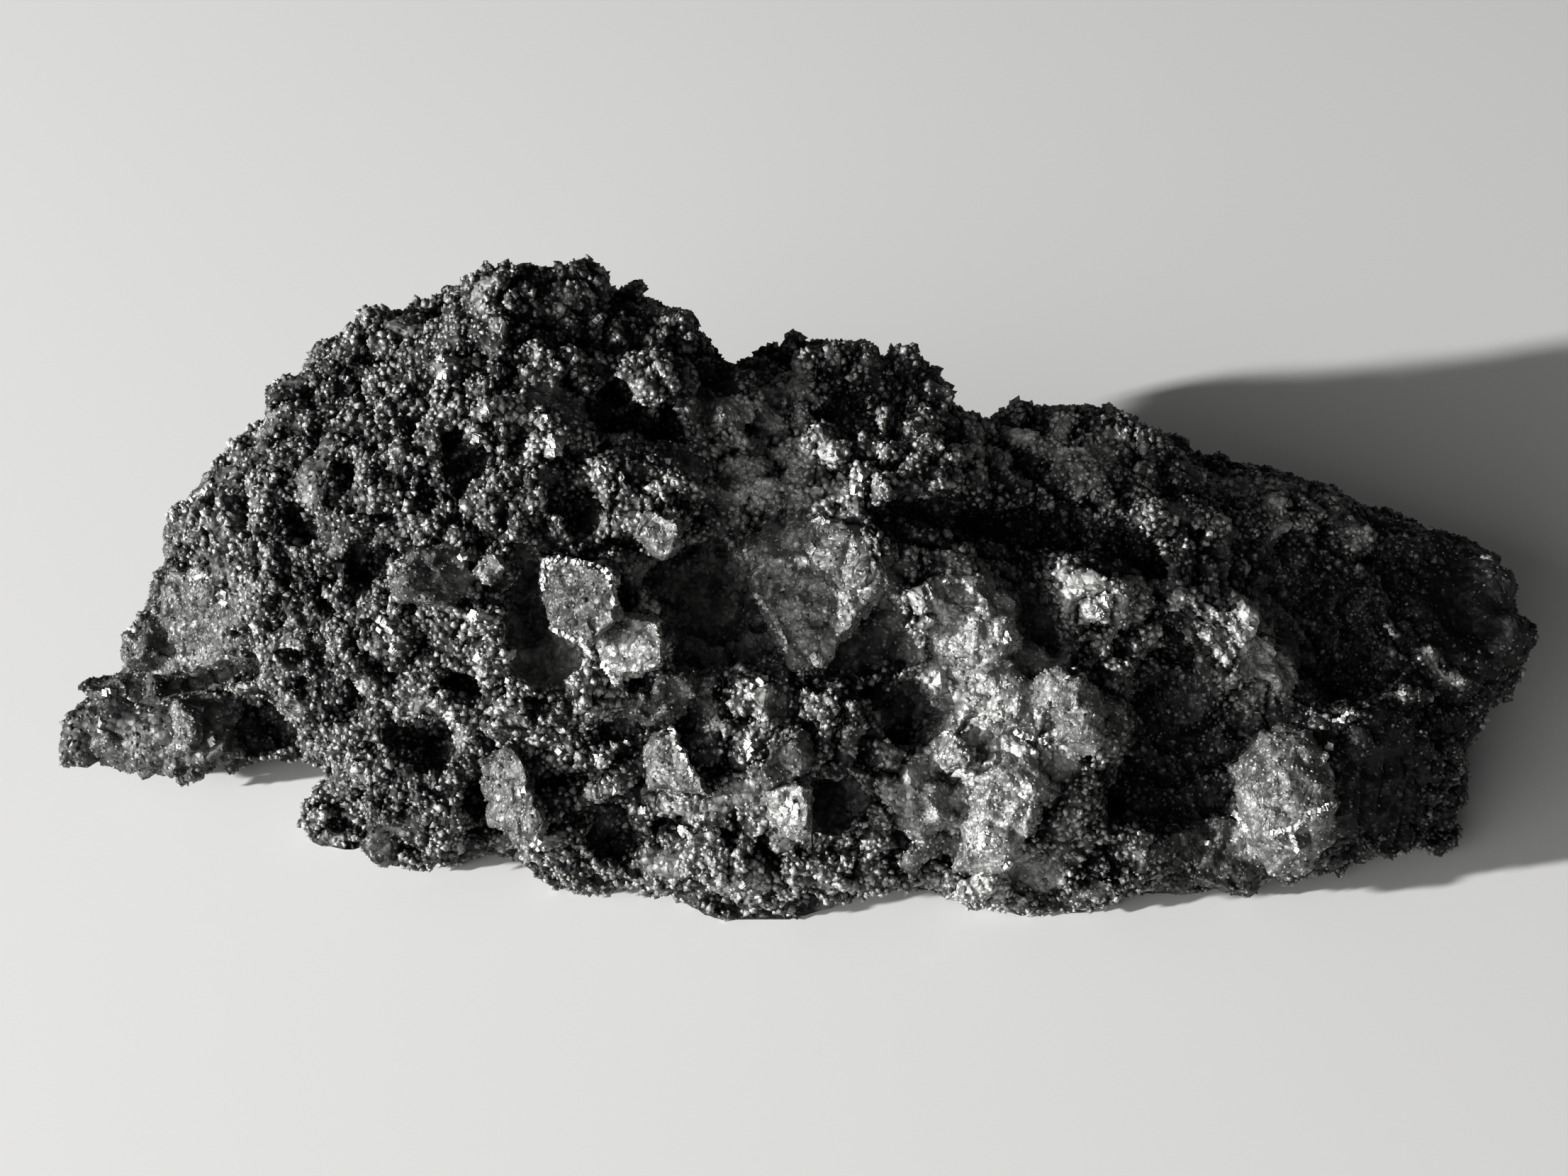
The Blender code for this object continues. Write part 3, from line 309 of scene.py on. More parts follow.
# Moulds and hollows of the front: depth, the width of the edge, how smooth its floor is from 0
# to 1, and outline.
MOULDS = (
    # the two big ones, with the straight edges of the crystals that they were
    (5, 0.3, 0.55, ((-7.2, 0.4), (-5.9, 1.7), (-3.1, 2.7), (-2.5, 1.4), (-1.3, -0.4), (0.1, -3.2),
        (-1.2, -3.7), (-4.4, -4.2), (-5.4, -2.9), (-6, -1.2))),
    (2.4, 0.4, 0.8, ((5.4, -0.5), (3.9, -1), (1.8, -4), (3, -4.5), (6.4, -4), (7, -3), (5.9, -2.2))),
    (3.4, 0.7, 0.2, ((3.6, -5), (6.7, -4.4), (7.9, -6.4), (7.2, -7.6), (5.2, -7.6))),
    (3, 0.3, 0.8, ((1.4, -9.8), (3.8, -9.7), (4, -11.2), (3.2, -12.2), (1.4, -12.1))),
    # under the left flank, and at the root of the tongue
    (1.8, 0.4, 0.8, ((-33.3, -4.3), (-32, -4.8), (-26.6, -3.6), (-26.4, -4.4), (-31.5, -5.5))),
    (2.6, 0.7, 0.2, ((-27, -5.4), (-25.8, -5.5), (-24.6, -6.8), (-24.6, -8), (-27.5, -8.6), (-27.6, -7.6))),
    # the dark cleft beside the trapezoid plate
    (3.2, 0.5, 0.8, ((-14, -2.6), (-13.4, 1.8), (-12.5, 1.8), (-12.2, -1.9), (-10.2, -3.1), (-10.4, -4.1),
        (-12, -4.9), (-13.6, -4.3))),
    (2, 0.7, 0.2, ((-17.2, -4.3), (-15.6, -4.2), (-15.4, -5.6), (-17, -5.9))),
    (1.8, 0.7, 0.2, ((-9.6, -7.1), (-8.4, -6.6), (-5.7, -7), (-3.9, -5.9), (-4.2, -7.5), (-7.2, -7.6),
        (-9.4, -7.8))),
    (2.5, 0.7, 0.2, ((-10, -11.1), (-7.8, -11.2), (-7.6, -13.1), (-9.8, -13.8))),
    (2, 0.7, 0.2, ((-15.9, -8.4), (-15.2, -8.4), (-14.7, -12.4), (-14.6, -13.8), (-15.8, -13.2))),
    (2.5, 0.7, 0.2, ((-19.9, -6.8), (-16.9, -6.7), (-16.5, -8.9), (-17.5, -9.3), (-18.4, -7.9),
        (-19.8, -8.1))),
    # the pits of the left shoulder
    (2.2, 0.7, 0.2, ((-23, 6.2), (-22.2, 6.9), (-21.5, 6), (-21.9, 4.2), (-22.9, 4.6))),
    (2.2, 0.7, 0.2, ((-25.2, 3.7), (-24.3, 3.8), (-23.3, 2.8), (-23.8, 2.1), (-24.7, 2.3))),
    (2.6, 0.7, 0.2, ((-21.8, 2), (-19.8, 2), (-19.8, 1.2), (-20.9, -0.2), (-22, -0.6))),
    (2, 0.7, 0.2, ((-14, 8.4), (-13, 8.3), (-12.8, 7.2), (-13.8, 6.2))),
    (1.5, 0.7, 0.2, ((-17.3, 7.8), (-16, 7.6), (-15, 6), (-16, 5), (-16.9, 6))),
    # the crescent under the overhang, and the clefts near it
    (2.4, 0.7, 0.2, ((-9.6, 8.9), (-8.9, 11), (-8.1, 10.6), (-7.6, 9.2), (-5.2, 8.4), (-4.6, 7.4),
        (-6.5, 7.5), (-8.2, 8), (-9.2, 7.1))),
    (2.2, 0.7, 0.2, ((-11, 4.9), (-9.7, 4.9), (-9.4, 3), (-10.6, 2.7))),
    (2, 0.7, 0.2, ((-4.2, 11.6), (-2.5, 11.5), (-3.3, 9.6), (-3.5, 8), (-4.1, 8.6), (-3.9, 10.4))),
    (1.6, 0.7, 0.2, ((-3.1, 5.4), (-2.4, 6), (-2.7, 4.2), (-3.4, 3.5))),
    (1.6, 0.7, 0.2, ((1.8, 9.9), (4.3, 9.9), (4.2, 8), (2.2, 8))),
    (1.2, 0.7, 0.2, ((11.9, 7), (13.8, 7), (13.8, 5.7), (12.1, 5.6))),
    # the arched groove under the ledge, and the column that falls from it
    (2.6, 0.4, 0.5, ((4.6, 4), (6.2, 4.3), (8, 4.7), (9.8, 4.2), (12, 4), (12, 2.4), (9.8, 2.6), (8.4, 2.8),
        (7.4, 3.5), (5.6, 3.6))),
    (2.6, 0.4, 0.5, ((11, 4), (12, 4), (14, 3.7), (15.8, 3.2), (15.6, 2), (13, 2.4), (11, 2.4))),
    (2.6, 0.4, 0.5, ((15, 3.4), (16.8, 3), (18.6, 2), (19.4, 0.6), (18.4, 0.4), (17.2, 1.5), (15, 2.2))),
    (2.4, 0.6, 0.35, ((10.9, 1.8), (12.8, 1.7), (12.6, 0.6), (13.3, -0.6), (14.2, -2.2), (13.8, -3.2),
        (12.3, -2.7), (11.9, -1), (11.8, 0.4))),
    # the shadowed hollows of the right half
    (2.6, 1.8, 0.2, ((17.6, -5), (18.9, -2.6), (21, -3.4), (22, -5.6), (24.6, -6.3), (23.4, -7.6),
        (22.4, -9.3), (22.2, -11.3), (19.4, -11.8), (16.2, -11.6), (16.9, -9), (18.4, -7.4))),
    (1.6, 1.6, 0.2, ((26, -0.8), (25.4, 1.2), (28, 1.8), (28.9, 0.2), (29.6, -1.4), (31, -4.4),
        (29.5, -5.4), (27.3, -5.7), (26.8, -4.8), (26.8, -2.8))),
    (0.7, 1.4, 0.35, ((33.2, 0.6), (35.6, 0.6), (36.6, -2), (35.2, -3.4), (33.6, -1.4))),
    (1.6, 0.5, 0.8, ((11.3, -13.9), (13.6, -13.8), (14.1, -15.4), (11.5, -15.3))),
)

# Sides of the front that turn away from the light: how steeply each falls back to the right and
# upwards, how wide its edge is, the point that it falls from, and its outline.
SLOPES = (
    # the nodule's dark side
    (0.95, -0.1, 0.5, (27.9, -10), ((27.7, -7.2), (29, -6.4), (32, -6.2), (34.6, -7), (34.6, -12.6),
        (32, -13.8), (28.4, -13.6), (28.2, -11), (27.7, -9.6))),
    # the right of the pale flow
    (0.9, 0, 0.7, (17.3, -6.5), ((17, -4.4), (19, -4.6), (20.5, -7), (20, -11.5), (16.4, -11.3),
        (17.2, -8.6), (17.8, -6.6))),
)

# Stretches of the skyline where the mass is lower than its solid: from and to, and how high.
TRIMS = (
    (1.6, 4.6, 12.5), (4.6, 5.3, 11.5), (6.9, 7.8, 11.1), (7.8, 8.6, 10.3), (8.6, 9.8, 8.8),
    (9.8, 10.8, 8.5), (10.8, 11.6, 8.9),
)

# Parts of the front that are made of thin leaves: right, up, half width, half height, the angle
# that the leaves run at, in degrees, how far apart they are, and how high they stand.
LEAVES = (
    (23.4, -0.4, 4.6, 3.2, -50, 0.75, 0.40), (29, -1.5, 4, 3.8, -62, 0.9, 0.45),
    (-29.6, -1.5, 2.2, 2.8, 30, 0.9, 0.15), (22, -13.8, 2.4, 2, -38, 0.9, 0.2),
    (19.8, -8.6, 3, 3.4, -70, 1.1, 0.25), (30.8, -9.8, 2.4, 3.2, 75, 0.9, 0.4),
    (25.2, -10.4, 2.4, 3, 60, 1.2, 0.03),
)

# Flat-faced crystals of the front: how far the face leans to the right and back, in degrees, how
# far it stands proud, its paleness, and its outline.
PLATES = (
    # the trapezoid plate, and the block at its lower corner
    (-28, 6, 0.9, -0.3, ((-12.2, 1.5), (-8.6, 0.8), (-8.5, -1.5), (-9.9, -2.8), (-11.7, -2))),
    (-30, 12, 0.9, 0.35, ((-8.8, -1.3), (-6.4, -1.7), (-6.3, -3.8), (-8.3, -4.6), (-9.3, -3.4))),
    # the big slab between the two straight-edged moulds, its paleness partly painted light where the
    # dome's shadow falls on it
    (-14, 4, 0.1, 0.15, ((-2.2, 2.3), (-1, 2.6), (0.8, 3.6), (4.6, 2.6), (5.2, 0.2), (3.6, -1.6),
        (1.8, -3.8), (0.4, -3.8), (-1.3, -0.2))),
    (-28, 0, 0.9, 0.45, ((-0.7, -10.4), (0.3, -9.9), (1.15, -10), (1.25, -12.2), (0.2, -12.5),
        (-0.8, -11.5))),
    (-25, 0, 0.8, 0.1, ((-7, -8.1), (-6.5, -7.5), (-5.5, -7.4), (-5, -8.7), (-3.8, -10.4), (-6.9, -10))),
    (-28, 0, 0.9, 0.4, ((-5.3, -5.3), (-4.7, -4.2), (-4.4, -5.6))),
    (15, -12, 0.8, -0.3, ((-8, -5.8), (-5.3, -4.3), (-4.4, -5.2), (-5.7, -6.5), (-7.6, -6.7))),
    (12, -10, 0.8, -0.3, ((-1.3, -9.4), (0, -7.7), (1.3, -7.5), (1.4, -9.1), (-0.8, -10))),
    (-30, 0, 1, -0.2, ((-15.2, -9), (-13.8, -7.9), (-13, -9.6), (-12.2, -12), (-12.6, -13),
        (-14.6, -11.9))),
    (-25, 10, 1, 0.4, ((7.4, -8), (8.3, -7.2), (9.7, -8.3), (9.3, -9.4), (8.3, -9.2))),
    (-20, 5, 0.9, 0.2, ((-7.7, 2.7), (-6.9, 3.9), (-5.5, 3.4), (-5.3, 2.3), (-6.2, 1.6))),
    (-28, 6, 0.9, 0.3, ((12.6, -5.6), (13.2, -4.4), (15, -4.5), (14.8, -6), (13, -6.1))),
    (18, 14, 0.8, -0.4, ((-19.6, 0.3), (-18.6, 1.9), (-16.3, 2), (-15.9, 0), (-17.4, -0.9), (-19.3, -0.6))),
    (-25, 10, 0.8, 0.2, ((-15.7, 0.6), (-14.9, 1.8), (-14, 1.1), (-14.7, 0.2))),
    # the left flank's face, over the tongue
    (-34, -4, 0.5, -0.2, ((-31.6, 0.6), (-29.3, 1), (-27.3, -3.5), (-32, -4.6))),
    # the plate over the tongue, painted dark as shade
    (0, 24, 0.2, -1, ((-35.6, -4.9), (-33.8, -4.5), (-32.6, -3.7), (-31, -4), (-31.5, -5.6),
        (-34.5, -5.6))),
    # the smooth toe
    (-6, 10, 0.8, -0.9, ((19.7, -13.6), (20.5, -11.8), (22.4, -11.6), (24.2, -14), (23.6, -15.4),
        (21.5, -15))),
    # thin blades in the hollow at the right
    (12, 0, 0.2, -0.4, ((27.6, -0.4), (27.9, -0.4), (28.3, -3.8), (28, -3.9))),
)

# Rounded lumps with a fine skin, in the same way.
LUMPS = (
    # the nodule
    (-14, 6, 1.5, 0.1, ((22.9, -9.6), (23.2, -8.4), (23.9, -7.4), (25.2, -6.8), (26.6, -7.2), (27.6, -8.5),
        (28.1, -10.8), (27.7, -13), (26.4, -14.4), (24.7, -14.6), (23.5, -13.3), (22.8, -11.4))),
    # the pale flow's faces
    (-22, 2, 0.5, 0.45, ((5.9, 0.2), (7.4, 1.3), (9.8, 1), (11.4, -0.6), (11.9, -3), (10.4, -4.6),
        (7.6, -3.4), (6.3, -2.2))),
    (-22, 2, 0.6, 0.5, ((7.3, -3.6), (9, -2.8), (11.4, -3.2), (12.8, -5), (13, -7.6), (11.6, -8.8),
        (8.8, -7.2), (7.1, -5.9))),
    (-22, 6, 0.6, 0.5, ((9.6, -8.2), (12.4, -8), (13.6, -9.6), (12.8, -12), (11.2, -14.6), (8.6, -14.4),
        (8.9, -11.4))),
    (-24, 4, 0.5, 0.35, ((4.9, -9.6), (6.4, -9), (8.2, -9.9), (8.7, -11.6), (7.2, -13.2), (5.2, -12.2))),
    (-20, 4, 0.5, 0.35, ((13, -4.6), (15.2, -4.4), (16.4, -6.4), (15.8, -8.6), (13.6, -8))),
    # the left flank's upper face, and the knob beside its foot
    (-32, 8, 0.4, -0.1, ((-28.7, 6.2), (-27.2, 4.6), (-27.6, 1.6), (-29.4, 1), (-31.3, 0.9), (-31.4, 2.4),
        (-30.7, 4))),
    (-25, 10, 0.3, -0.35, ((-33.5, -3.2), (-33.2, -2.1), (-32.4, -1.4), (-31.5, -1.4), (-31.3, -3.6),
        (-32.3, -4.3), (-33.3, -4.1))),
    # the tongue's face, and the lump at its middle
    (-6, 16, 0.4, -0.3, ((-36.4, -7), (-35.4, -5.8), (-32, -5.4), (-29.6, -5.6), (-28.6, -7.2),
        (-29.4, -8.8), (-32, -9.5), (-34.4, -8.9), (-36.4, -8.4))),
    (-20, 10, 1.1, -0.1, ((-31.2, -5.8), (-30.4, -5.3), (-29.4, -5.8), (-29.3, -7.2), (-29.9, -8.6),
        (-31, -8.4), (-31.6, -7.2))),
)

# Rows of small bright crystals along the edges of the front.
BEAD_ROWS = (
    ((-12.2, -0.1), (-12.1, 1.4), (-10.9, 1.4), (-9.4, 1.1), (-8.6, 0.5), (-8.6, -1)),
    ((-11.7, -2), (-10.2, -2.8), (-9, -4), (-7.8, -5.6)),
    ((24.7, -12.4), (25.9, -12.1), (26.6, -11.3), (28, -10.9)), ((27.5, -8), (27.2, -8.9)),
    ((25.7, -12.6), (26.1, -13.4)), ((22.9, -11.5), (23.6, -12.5)), ((1, 3.6), (2.3, 3.3)),
    ((-1.4, -0.3), (-0.4, -1.6), (0.3, -3.4)), ((30.4, -1.8), (31, -2.6)), ((30.2, -5.6), (31.4, -5.2)),
    ((27.8, -6.8), (28.9, -6.2)), ((-30, 0.4), (-29, 0.7)), ((-28.9, 5.2), (-30.2, 4.2), (-31.1, 3.3)),
    ((-5.7, -7), (-5.1, -8.4), (-4.6, -9.6)), ((8.3, -7.3), (9, -7.9), (9.6, -8.3)),
    ((11.9, -7.3), (13.4, -7.9)), ((-15.1, -4.8), (-13.2, -4.5)), ((-6.2, 10.9), (-5.6, 10.2)),
    ((4.3, 9.6), (4.4, 8.6)), ((-18.4, -6.5), (-16.6, -6.6)),
)

# Bright crystals of the front, turned to catch the light: right, up, width, height.
GLINTS = (
    (-11.6, 7.2, 0.9, 1), (-11.8, 8.6, 0.9, 0.5), (-17.2, 11.6, 0.5, 0.3), (-17.3, 10.7, 0.6, 0.3),
    (-15.2, 8.9, 0.7, 0.3), (-14.4, 8.4, 0.5, 0.25), (-15.4, 7.6, 0.5, 0.4), (-20.1, -1.8, 0.9, 0.9),
    (-19.7, -3.3, 0.4, 0.8), (-18.5, -2.4, 0.4, 0.3), (-28.3, -0.5, 0.35, 1), (-16.2, 1.5, 0.4, 0.35),
    (-15.8, 0.8, 0.3, 0.3), (-15.5, -1.4, 1, 0.5), (-15.4, -3.3, 0.3, 0.9), (-13.8, -3.4, 0.8, 0.5),
    (-1.4, -4.8, 1, 0.6), (-0.7, -6.8, 0.5, 0.6), (-1.8, -8, 0.5, 1.3), (0.4, -11, 0.9, 0.9),
    (1.45, 2, 0.45, 0.45), (1.9, -3.6, 1, 0.7), (8.4, 0.8, 0.35, 0.35), (8.2, 0.3, 0.4, 0.4),
    (7.2, 1.3, 0.25, 0.6), (11.2, 6.6, 0.3, 0.3), (12.3, 0, 0.7, 0.5), (15.8, -1.2, 0.9, 0.7),
    (16.3, -0.6, 0.4, 0.8), (13.4, 0.3, 0.35, 0.5), (22.8, -11.4, 0.4, 0.4), (11.6, -3.7, 0.7, 0.5),
    (11.3, -2.6, 0.4, 0.7), (7.6, -5.8, 0.4, 0.4), (-34.5, -6.9, 0.25, 0.9), (-34.2, -5.3, 0.7, 0.3),
    (-28.9, -7.8, 0.3, 0.4), (-9.3, -8.6, 0.6, 0.5), (-8.5, -10, 0.4, 0.8), (3.6, 5, 0.3, 0.3),
    (4, 5.6, 0.3, 0.3), (24.9, 2.7, 0.4, 0.35), (25.1, 4.4, 0.6, 0.4), (-12.4, -13, 0.7, 0.6),
    (-13.2, -10.2, 0.4, 0.4), (10.2, -12.9, 0.7, 0.8), (11.3, -14, 0.8, 0.25), (-2.2, -15.2, 0.4, 0.9),
    (8.3, 2.7, 0.3, 0.35), (27.6, -8, 0.3, 0.35), (21.4, -12.9, 0.3, 0.3), (-9.2, 6, 0.5, 0.4),
    (-5.9, 6.4, 0.3, 0.35), (-9.4, 13.5, 0.3, 0.4), (-8.5, 13.3, 0.3, 0.5), (-14.2, 13.1, 0.4, 0.2),
    (4.2, 11, 0.3, 0.3), (-11.4, -8.2, 0.3, 0.3), (-22.9, -11.4, 0.5, 0.5), (-8, -7.9, 0.6, 0.3),
    (-7.1, -11.2, 0.5, 0.5), (-5, -12.3, 0.5, 0.4), (-3.8, -12.2, 0.6, 0.6),
)

# The corners and faces of each kind of grain, up to 1 wide.
GRAINS = {
    "cube": (
        np.array([[x, y, z] for z in (-1, 1) for y in (-1, 1) for x in (-1, 1)]) * (CUBE_WIDTH / 2),
        np.array([[0, 2, 3, 1], [4, 5, 7, 6], [0, 1, 5, 4], [2, 6, 7, 3], [0, 4, 6, 2],
                  [1, 3, 7, 5]]),
    ),
    "octahedron": (
        np.array([[0.5, 0, 0], [-0.5, 0, 0], [0, 0.5, 0], [0, -0.5, 0], [0, 0, 0.5], [0, 0, -0.5]]),
        np.array([[0, 2, 4], [2, 1, 4], [1, 3, 4], [3, 0, 4], [2, 0, 5], [1, 2, 5], [3, 1, 5],
                  [0, 3, 5]]),
    ),
}


def sight_line(right, up):
    """The direction from EYE to a point of the sight plane."""
    place = MIDDLE + SIGHT_RIGHT * float(right * SIGHT_SCALE) + SIGHT_UP * float(up * SIGHT_SCALE)
    return (place - EYE).normalized()


def seen_at(points):
    """The right and up at which points are seen from EYE."""
    ray = points - np.array(EYE)
    scale = SIGHT_DISTANCE / SIGHT_SCALE / -(ray @ np.array(SIGHT_BACK))
    return (ray @ np.array(SIGHT_RIGHT)) * scale, (ray @ np.array(SIGHT_UP)) * scale


def outside_by(outline, right, up):
    """How far points are outside an outline, or, below 0, inside it."""
    odd = np.zeros(len(right), bool)
    nearest = np.full(len(right), np.inf)
    for (x1, y1), (x2, y2) in zip(outline, outline[1:] + outline[:1]):
        wide, high = x2 - x1, y2 - y1
        along = ((right - x1) * wide + (up - y1) * high) / (wide ** 2 + high ** 2)
        along = np.clip(along, 0, 1)
        away = np.hypot(right - x1 - along * wide, up - y1 - along * high)
        nearest = np.minimum(nearest, away)
        if high:
            crossed = ((y1 > up) != (y2 > up)) & (right < x1 + (up - y1) * wide / high)
            odd ^= crossed
    return np.where(odd, -nearest, nearest)


def centre_of(outline):
    return np.mean(outline, axis=0)


def sight_depth(skin, right, up):
    """How far from EYE the skin is met, by the line or by the first one inwards that meets it."""
    for step in range(INWARD_STEPS):
        share = 1 - step / INWARD_STEPS
        depth = skin.ray_cast(EYE, sight_line(right * share, up * share))[3]
        if depth is not None:
            return depth
    return None


def mouth_depth(skin, outline):
    """How far from EYE the skin is round an outline."""
    middle = centre_of(outline)
    ring = [middle + (np.array(p) - middle) * MOUTH_WIDTH for p in outline]
    depths = [sight_depth(skin, *p) for p in ring]
    return np.median([d for d in depths if d is not None])


def add_object(mesh, name):
    obj = bpy.data.objects.new(name, mesh)
    bpy.context.scene.collection.objects.link(obj)
    return obj


def object_of(points, faces, name):
    """An object with these points and faces, each face with the same number of corners."""
    mesh = bpy.data.meshes.new(name)
    corners = faces.shape[1]
    mesh.vertices.add(len(points))
    mesh.vertices.foreach_set("co", points.astype(np.float32).ravel())
    mesh.loops.add(faces.size)
    mesh.loops.foreach_set("vertex_index", faces.astype(np.int32).ravel())
    mesh.polygons.add(len(faces))
    mesh.polygons.foreach_set("loop_start", np.arange(0, faces.size, corners, dtype=np.int32))
    mesh.update(calc_edges=True)
    mesh.shade_flat()
    return add_object(mesh, name)


def object_from(heap, name):
    mesh = bpy.data.meshes.new(name)
    heap.to_mesh(mesh)
    heap.free()
    return add_object(mesh, name)


def apply_modifiers(obj):
    graph = bpy.context.evaluated_depsgraph_get()
    mesh = bpy.data.meshes.new_from_object(obj.evaluated_get(graph))
    obj.modifiers.clear()
    obj.data = mesh


def fuse(obj, voxel):
    remesh = obj.modifiers.new("fuse", "REMESH")
    remesh.mode = "VOXEL"
    remesh.voxel_size = voxel
    apply_modifiers(obj)


def thin(obj, wanted):
    """Takes triangles out where the surface is flattest, until this many are left."""
    triangles = sum(len(p.vertices) - 2 for p in obj.data.polygons)
    decimate = obj.modifiers.new("thin", "DECIMATE")
    decimate.ratio = min(1.0, wanted / triangles)
    apply_modifiers(obj)


def kd_tree(points):
    """A tree that finds the point nearest to a place."""
    tree = KDTree(len(points))
    for i, point in enumerate(points):
        tree.insert(point, i)
    tree.balance()
    return tree


def tree_of(heap):
    """A bmesh's surface, for finding where a line meets it. The bmesh is freed."""
    tree = BVHTree.FromBMesh(heap)
    heap.free()
    return tree


def cad_mass():
    """The CAD mass as a bmesh, in millimetres."""
    heap = bmesh.new()
    heap.from_mesh(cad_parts["silver_mass"].data)
    bmesh.ops.scale(heap, vec=(1 / MM,) * 3, verts=heap.verts)
    return heap


def read(items, name, width, kind=np.float32):
    """A property of a mesh's points or faces, as rows of this many numbers."""
    numbers = np.empty(len(items) * width, kind)
    items.foreach_get(name, numbers)
    return numbers.reshape(-1, width)


def points_of(mesh):
    return read(mesh.vertices, "co", 3).astype(float)


def normals_of(mesh):
    return read(mesh.vertex_normals, "vector", 3).astype(float)


def values_of(obj, name):
    return read(obj.data.attributes[name].data, "value", 1)[:, 0].astype(float)


def set_points(mesh, points):
    mesh.vertices.foreach_set("co", points.astype(np.float32).ravel())
    mesh.update()


def add_values(obj, **values):
    """Keeps numbers for each point, for the object's material to read."""
    for name, numbers in values.items():
        attribute = obj.data.attributes.new(name, "FLOAT", "POINT")
        attribute.data.foreach_set("value", numbers.astype(np.float32))


def noise_at(points, kind):
    """Smooth noise of this kind, from -1 to 1, at each point."""
    scale, shift = NOISES[kind]
    offset = Vector((shift, shift * 2, -shift))
    return np.array([noise.noise(Vector(p) / scale + offset) for p in points])


def polish_at(points, kind):
    """How polished each point is, from 0 to 1."""
    return 0.5 + 0.5 * noise_at(points, kind)


def swayed(points, sway=EDGE_SWAY):
    """Where points are seen, each moved a little, so that an outline drawn there wanders."""
    right, up = seen_at(points)
    wander = noise_at(points, "sway right") + FINE_SWAY * noise_at(points, "fine sway")
    return right + sway * wander, up + sway * noise_at(points, "sway up")


def patch_share(place, patch, fade, front):
    """How much of a round patch's effect each place of the front gets, from 0 to 1."""
    x, y, wide, high = patch
    most, lost = fade
    away = np.hypot((place[0] - x) / wide, (place[1] - y) / high)
    return np.clip(most - lost * away, 0, 1) * front


def edge_share(outline, blur, right, up):
    """How far within an outline points are: 0 at its edge, 1 this far inside it."""
    share = np.clip(0.5 - outside_by(outline, right, up) / blur, 0, 1)
    return share * share * (3 - 2 * share)


def mould_shares(points):
    """For each mould, its depth, smoothness and outline, and how far within it points are."""
    smooth_place, rough_place = swayed(points), swayed(points, ROUGH_SWAY)
    for depth, blur, smooth, outline in MOULDS:
        place = smooth_place if smooth > MOULD_SMOOTH else rough_place
        yield depth, smooth, outline, edge_share(outline, blur, *place)


def zone_at(points, front):
    """Each point's paleness and calm. front is 1 where the photographer sees the skin."""
    place = swayed(points)
    pale = REGION_TONE * noise_at(points, "region") + PATCH_TONE * noise_at(points, "patch") + MEAN_TONE
    calm = FACE_SHARP * (noise_at(points, "face") - FACE_LEAST)
    calm = np.clip(calm, 0, FACE_CALM) * (pale < FACE_PALEST)
    # The zones give the silver's own tone, and also painted shade and painted light where shadows fall.
    for *patch, paleness, stillness in ZONES:
        share = patch_share(place, patch, ZONE_FADE, front)
        pale += share * paleness
        calm = np.maximum(calm, share * stillness)
    for *patch, _, paleness in KNOBS:
        share = patch_share(place, patch, KNOB_FADE, front)
        pale += share * (KNOB_TONE[0] * paleness + KNOB_TONE[1])
    for _, smooth, _, share in mould_shares(points):
        # Painted light on the floors of smooth moulds, painted shade in rough ones.
        pale += MOULD_LIGHT_AND_SHADE * (smooth - MOULD_SMOOTH) * share * front
        calm = np.maximum(calm, smooth * share * front)
    return pale, calm


def bare_at(points, calm, front):
    """How bare of grains each point is, from 0 to 1: crystal faces and moulds are."""
    right, up = swayed(points)
    bare = np.zeros(len(points))
    for *_, outline in PLATES + LUMPS:
        bare = np.maximum(bare, FACE_BARE * (outside_by(outline, right, up) < -FACE_RIM))
    for _, smooth, _, share in mould_shares(points):
        bare = np.maximum(bare, smooth * share)
    rate, start = CALM_BARE
    return np.maximum(bare, np.clip(rate * calm - start, 0, FACE_BARE)) * front


def pushed_back(points, depth, share):
    """Points moved from EYE to this depth where they are nearer, or by a share of the way."""
    eye = np.array(EYE)
    distance = np.linalg.norm(points - eye, axis=1)
    pushed = distance + np.maximum(depth - distance, 0) * share
    return eye + (points - eye) * (pushed / distance)[:, None]


def carve_moulds(points, solid, dice):
    """Pushes the skin back inside the outline of each mould, down to a tilted floor."""
    right, up = seen_at(points)
    for depth, _, outline, share in mould_shares(points):
        x, y = centre_of(outline)
        lean, tilt = dice.uniform(-FLOOR_LEAN, FLOOR_LEAN, 2)
        floor = mouth_depth(solid, outline) + depth + (right - x) * lean + (up - y) * tilt
        points = pushed_back(points, floor, share)
    return points


def carve_slopes(points, solid):
    """Pushes the skin back behind the plane of each slope."""
    right, up = swayed(points)
    for lean, tilt, blur, (x, y), outline in SLOPES:
        share = edge_share(outline, blur, right, up)
        plane = sight_depth(solid, x, y) + (right - x) * lean + (up - y) * tilt
        points = pushed_back(points, plane, share)
    return points


def trim_skyline(points):
    """Lowers the points that are seen above the skyline's trims."""
    right, up = seen_at(points)
    for start, end, top in TRIMS:
        over = np.maximum(up - top, 0) * ((right > start) & (right < end))
        points = points - (over * SIGHT_SCALE)[:, None] * np.array(SIGHT_UP)
    return points


def leaves_at(points, front):
    """How far the edges of thin leaves raise the skin at each point."""
    right, up = seen_at(points)
    height = np.zeros(len(points))
    crest, fall = LEAF_EDGE
    for *patch, angle, apart, stands in LEAVES:
        x, y = patch[:2]
        share = patch_share((right, up), patch, LEAF_FADE, front)
        turn = math.radians(angle)
        along = (right - x) * math.cos(turn) + (up - y) * math.sin(turn)
        across = (up - y) * math.cos(turn) - (right - x) * math.sin(turn)
        place = [along / (LEAF_LENGTH * apart), across / apart, np.full(len(points), x)]
        ridges = crest - fall * np.abs(noise_at(np.stack(place, axis=1), "leaf"))
        height += share * stands * ridges
    return height


